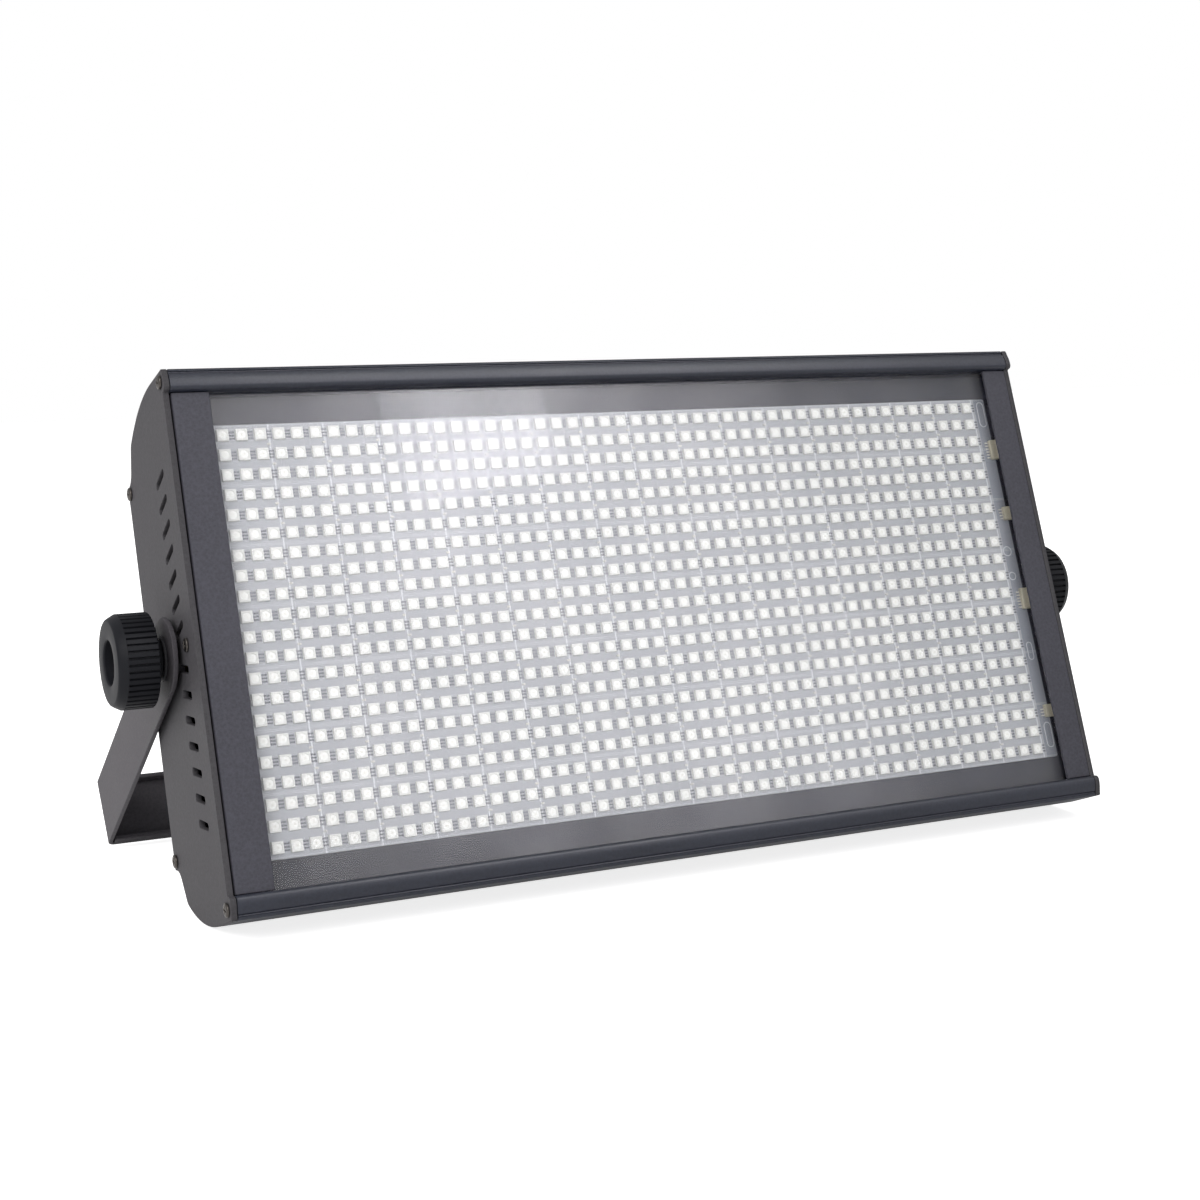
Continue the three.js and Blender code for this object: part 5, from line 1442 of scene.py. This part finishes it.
@dataclass
class RearPanel(Assembly):
    """The rear panel with its fan grilles and openings, and its screws."""

    half_width: float = 209.7
    half_height: float = 82.0
    front: float = 78.0
    back: float = 79.5
    corner: float = 0.8
    bevel: float = 0.2
    screw: Pair = (184.0, 80.0)
    screw_turn: float = 0.9
    fan_x: float = 105.0
    fan_z: float = 30.0
    bore: float = 38.0
    slot_pitch: float = 7.0
    slot_width: float = 4.0
    slot_count: int = 11
    windows: tuple[Four, ...] = (
        (-15.3, 31.3, -57.3, -38.7), (-173.2, -126.8, -65.2, -38.8))  # display and inlet
    window_corner: float = 0.6
    sockets: tuple[Triple, ...] = ((92.0, -52.0, 11.8), (132.0, -52.0, 11.8))
    buttons: Four = (8.0, -66.0, 15.0, 3.95)  # middle, height, pitch and radius
    button_count: int = 4

    def build(self) -> None:
        """Makes the panel and its screws."""
        outline = centred(self.half_width, self.half_height, self.corner)
        holes = self._grilles() + self._openings()
        shape = Shape().slab("y", outline, holes, self.front, self.back, self.bevel)
        self.piece("slotted_rear_panel", shape, "rail", "rear_panel", "black_powder_coat")
        x, z = self.screw
        for label, side in SIDES:
            for level, up in LEVELS:
                shape = CrossScrew().shape("y", (side * x, self.back, up * z), 1, self.screw_turn)
                spot = f"panel_{label}_{level}"
                self.piece(spot + "_cross_screw", shape, "screw", spot + "_screw", "nickel_screws")

    def _grilles(self) -> list[Array]:
        """Both fan grilles: straight slots, each as long as the air way is wide at its outer edge.

        Returns:
            The slots' outlines.
        """
        slots = []
        for x in (-self.fan_x, self.fan_x):
            for i in range(self.slot_count):
                off = (i - self.slot_count // 2) * self.slot_pitch
                half = math.sqrt(self.bore ** 2 - (abs(off) + self.slot_width / 2) ** 2)
                slots.append(stadium(x, self.fan_z + off, 2 * half, self.slot_width, 0, 6))
        return slots

    def _openings(self) -> list[Array]:
        """The openings for the display, the inlet, the sockets and the buttons.

        Returns:
            Their outlines.
        """
        middle, height, pitch, radius = self.buttons
        holes = [rectangle(*window, self.window_corner) for window in self.windows]
        holes += [ring(*socket, 40) for socket in self.sockets]
        return holes + [ring(middle + (i - (self.button_count - 1) / 2) * pitch, height, radius, 24)
                        for i in range(self.button_count)]


@dataclass
class CarriedOver:
    """The model's own solids that are right as they are: each gets its finish, and the small rear pieces
    are shown as copies with softened edges."""

    nodes: dict[str, Object]
    paint: Palette
    weld: float = 1e-6
    flat: float = math.radians(1)
    crease: float = math.radians(35)

    def build(self) -> None:
        """Dresses every node that stays and softens the outer ones."""
        plain = {
            "heat_sink": "aluminium", "driver_board": "circuit", "control_board": "circuit",
            "power_supply": "aluminium"}
        pairs = {"clamp_insert": "brass", "clamp_stud": "zinc", "fan_frame": "plastic",
                 "fan_rotor": "plastic"}
        plain |= {f"{label}_{piece}": paint for piece, paint in pairs.items() for label, _ in SIDES}
        for node, paint in plain.items():
            self._dress(self.nodes[node], paint)
        soft = {
            "power_inlet": ("plastic", "housing", 0.3), "fuse_drawer": ("plastic", "drawer", 0.3),
            "signal_in_socket": ("plastic", "housing", 0.3), "signal_out_socket": ("plastic", "housing", 0.2),
            "signal_latch": ("zinc", "latch", 0.2), "safety_eye": ("zinc", "housing", 0.2),
            "display_window": ("display", "housing", 0.25)}
        soft |= {f"menu_button_{i}": ("plastic", f"button_{i}", 0.3) for i in range(1, 5)}
        for node, (paint, body, bevel) in soft.items():
            self._soften(node, paint, body, bevel)

    def _dress(self, piece: Object, paint: str) -> None:
        """Gives a piece one material for all its faces.

        Args:
            piece: the object.
            paint: the finish's short name.
        """
        piece.data.materials.clear()
        piece.data.materials.append(self.paint[paint])
        LOG.info("piece %s: %d faces", piece.name, len(piece.data.polygons))

    def _soften(self, node: str, paint: str, body: str, bevel: float) -> None:
        """Shows a copy of a solid whose doubles are merged and whose sharp edges are rounded.

        Args:
            node: the solid's name.
            paint: the finish's short name.
            body: the CAD body that the copy moves with.
            bevel: how wide the rounding is.
        """
        copy = new_object("rounded_" + node, self.nodes[node].data.copy())
        copy.modifiers.new("weld", "WELD").merge_threshold = self.weld
        flat = copy.modifiers.new("flat", "DECIMATE")
        flat.decimate_type, flat.angle_limit = "DISSOLVE", self.flat
        edge = copy.modifiers.new("edge", "BEVEL")
        edge.width, edge.segments, edge.limit_method, edge.angle_limit = bevel * MM, 2, "ANGLE", self.crease
        baked(copy)
        self._dress(copy, paint)
        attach(copy, body)
        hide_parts(node)


@dataclass(frozen=True)
class SoftLamp:
    """A square soft lamp."""

    name: str
    at: Triple
    aim: Triple
    size: float
    power: float
    tint: Triple = (1.0, 1.0, 1.0)
    lights: bool = True
    mirrored: bool = True

    def build(self) -> None:
        """Adds the lamp, turned to its aim and hidden from the rays that it isn't for."""
        data = bpy.data.lights.new(self.name, "AREA")
        data.shape, data.size, data.energy, data.color = "SQUARE", self.size, self.power, self.tint
        lamp = bpy.data.objects.new(self.name, data)
        lamp.location = self.at
        lamp.rotation_euler = (Vector(self.aim) - Vector(self.at)).to_track_quat("-Z", "Y").to_euler()
        lamp.visible_diffuse, lamp.visible_transmission = self.lights, self.lights
        lamp.visible_glossy = self.mirrored
        bpy.context.scene.collection.objects.link(lamp)


@dataclass
class Studio:
    """The pale floor, the soft lamps, the white surroundings and the camera."""

    lamps: tuple[SoftLamp, ...] = (
        SoftLamp("key", (-0.92, -0.87, 0.95), (-0.1, 0, 0.1), 0.8, 9.5, (1.0, 0.98, 0.97)),
        SoftLamp("front", (0.70, -1.50, 0.95), (-0.03, -0.06, 0.13), 0.8, 7.5, (0.975, 0.945, 1.0),
                 lights=False),
        SoftLamp("glow", (0.57, -1.29, 1.13), (-0.07, -0.036, 0.19), 0.2, 2.4, (0.975, 0.945, 1.0),
                 lights=False),
        SoftLamp("above", (0.56, -0.80, 1.42), (0, -0.1, 0.2), 0.6, 10.0, lights=False),
        SoftLamp("side", (-1.9, 0.3, 0.8), (-0.2, 0, 0.1), 1.0, 14, (1.0, 0.97, 0.95), mirrored=False),
        SoftLamp("back", (0.6, 1.6, 1.5), (0, 0, 0.1), 1.2, 14, mirrored=False))
    camera_at: Triple = (-0.421304, -0.849374, 0.229820)
    camera_turn: Triple = (83.857814, 0.982745, -26.658455)
    sensor: float = 36.0
    lens: float = 60.817567
    shift: Pair = (-0.004851, -0.032410)
    clip: Pair = (0.01, 50)
    floor_half: float = 6.0
    floor_drop: float = 0.0005
    floor_tint: Four = (0.9, 0.9, 0.9, 1)
    floor_gloss: Pair = (0.9, 0.1)  # roughness and specular level
    floor_glow: Triple = (0.0, 0.80, 0.25)  # plain, direct and mirrored
    world_glow: Triple = (0.42, 1.0, 0.6)

    def build(self) -> None:
        """Makes the camera, the floor, the world and the lamps."""
        scene = bpy.context.scene
        scene.view_settings.view_transform = "Standard"
        self._camera(scene)
        self._floor()
        self._world(scene)
        for lamp in self.lamps:
            lamp.build()

    def _camera(self, scene: Scene) -> None:
        """Puts the camera at the photograph's own place and angle.

        Args:
            scene: the scene that it is for.
        """
        data = bpy.data.cameras.new("camera")
        data.sensor_width, data.sensor_fit, data.lens = self.sensor, "HORIZONTAL", self.lens
        data.shift_x, data.shift_y = self.shift
        data.clip_start, data.clip_end = self.clip
        camera = bpy.data.objects.new("camera", data)
        camera.location = self.camera_at
        camera.rotation_euler = [math.radians(a) for a in self.camera_turn]
        scene.collection.objects.link(camera)
        scene.camera = camera

    def _floor(self) -> None:
        """A plain pale floor that is white to the camera but keeps the light's shadow."""
        mesh = bpy.data.meshes.new("floor")
        corners = centred(self.floor_half, self.floor_half)
        mesh.from_pydata(carry(corners, "z", -self.floor_drop).tolist(), [], [(0, 1, 2, 3)])
        floor = new_object("floor", mesh)
        material, w, shader = new_material("pale floor")
        rough, specular = self.floor_gloss
        w.fill(shader, {"Base Color": self.floor_tint, "Roughness": rough, "Specular IOR Level": specular,
                        "Emission Color": (1, 1, 1, 1), "Emission Strength": self._seen(w, *self.floor_glow)})
        mesh.materials.append(material)

    @staticmethod
    def _seen(w: Wiring, plain: float, direct: float, gloss: float) -> NodeSocket:
        """A strength by kind of ray.

        Args:
            w: the tree's wiring.
            plain: the strength for rays that only light things.
            direct: the strength where the camera sees it, also through the pane.
            gloss: the strength where a glossy face mirrors it.

        Returns:
            The strength's socket.
        """
        path = w.node("ShaderNodeLightPath").outputs
        straight = w.maths("MAXIMUM", path["Is Camera Ray"], path["Is Transmission Ray"])
        mirrored = w.times(path["Is Glossy Ray"], w.maths("SUBTRACT", 1.0, straight))
        added = w.maths("ADD", w.times(straight, direct - plain), w.times(mirrored, gloss - plain))
        return w.maths("ADD", added, plain)

    def _world(self, scene: Scene) -> None:
        """Makes it white where the camera or the pane sees it, and a plain grey light for everything else.

        Args:
            scene: the scene that it is for.
        """
        world = bpy.data.worlds.new("studio")
        world.use_nodes = True
        scene.world = world
        w = Wiring(world.node_tree)
        strength = self._seen(w, *self.world_glow)
        w.fill(world.node_tree.nodes["Background"], {"Color": (1, 1, 1, 1), "Strength": strength})


HOUSING_PLACE = Place((0.0, -0.0693021962, 0.1174729453), math.radians(19.3))
YOKE_PLACE = Place((0.0, -0.0311726377, 0.1041201639), 0.6204221135)


def main() -> None:
    """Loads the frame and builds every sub-assembly."""
    logging.basicConfig(level=logging.INFO, format="%(name)s: %(message)s")
    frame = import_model()
    paint = Palette(Effects())
    Studio().build()
    for assembly in (Casing, Window, LampDeck, ClampKnobs):
        assembly(HOUSING_PLACE, paint).build()
    Yoke(YOKE_PLACE, paint).build()
    RearPanel(HOUSING_PLACE, paint).build()
    CarriedOver(frame["nodes"], paint).build()


if __name__ == "__main__":
    main()
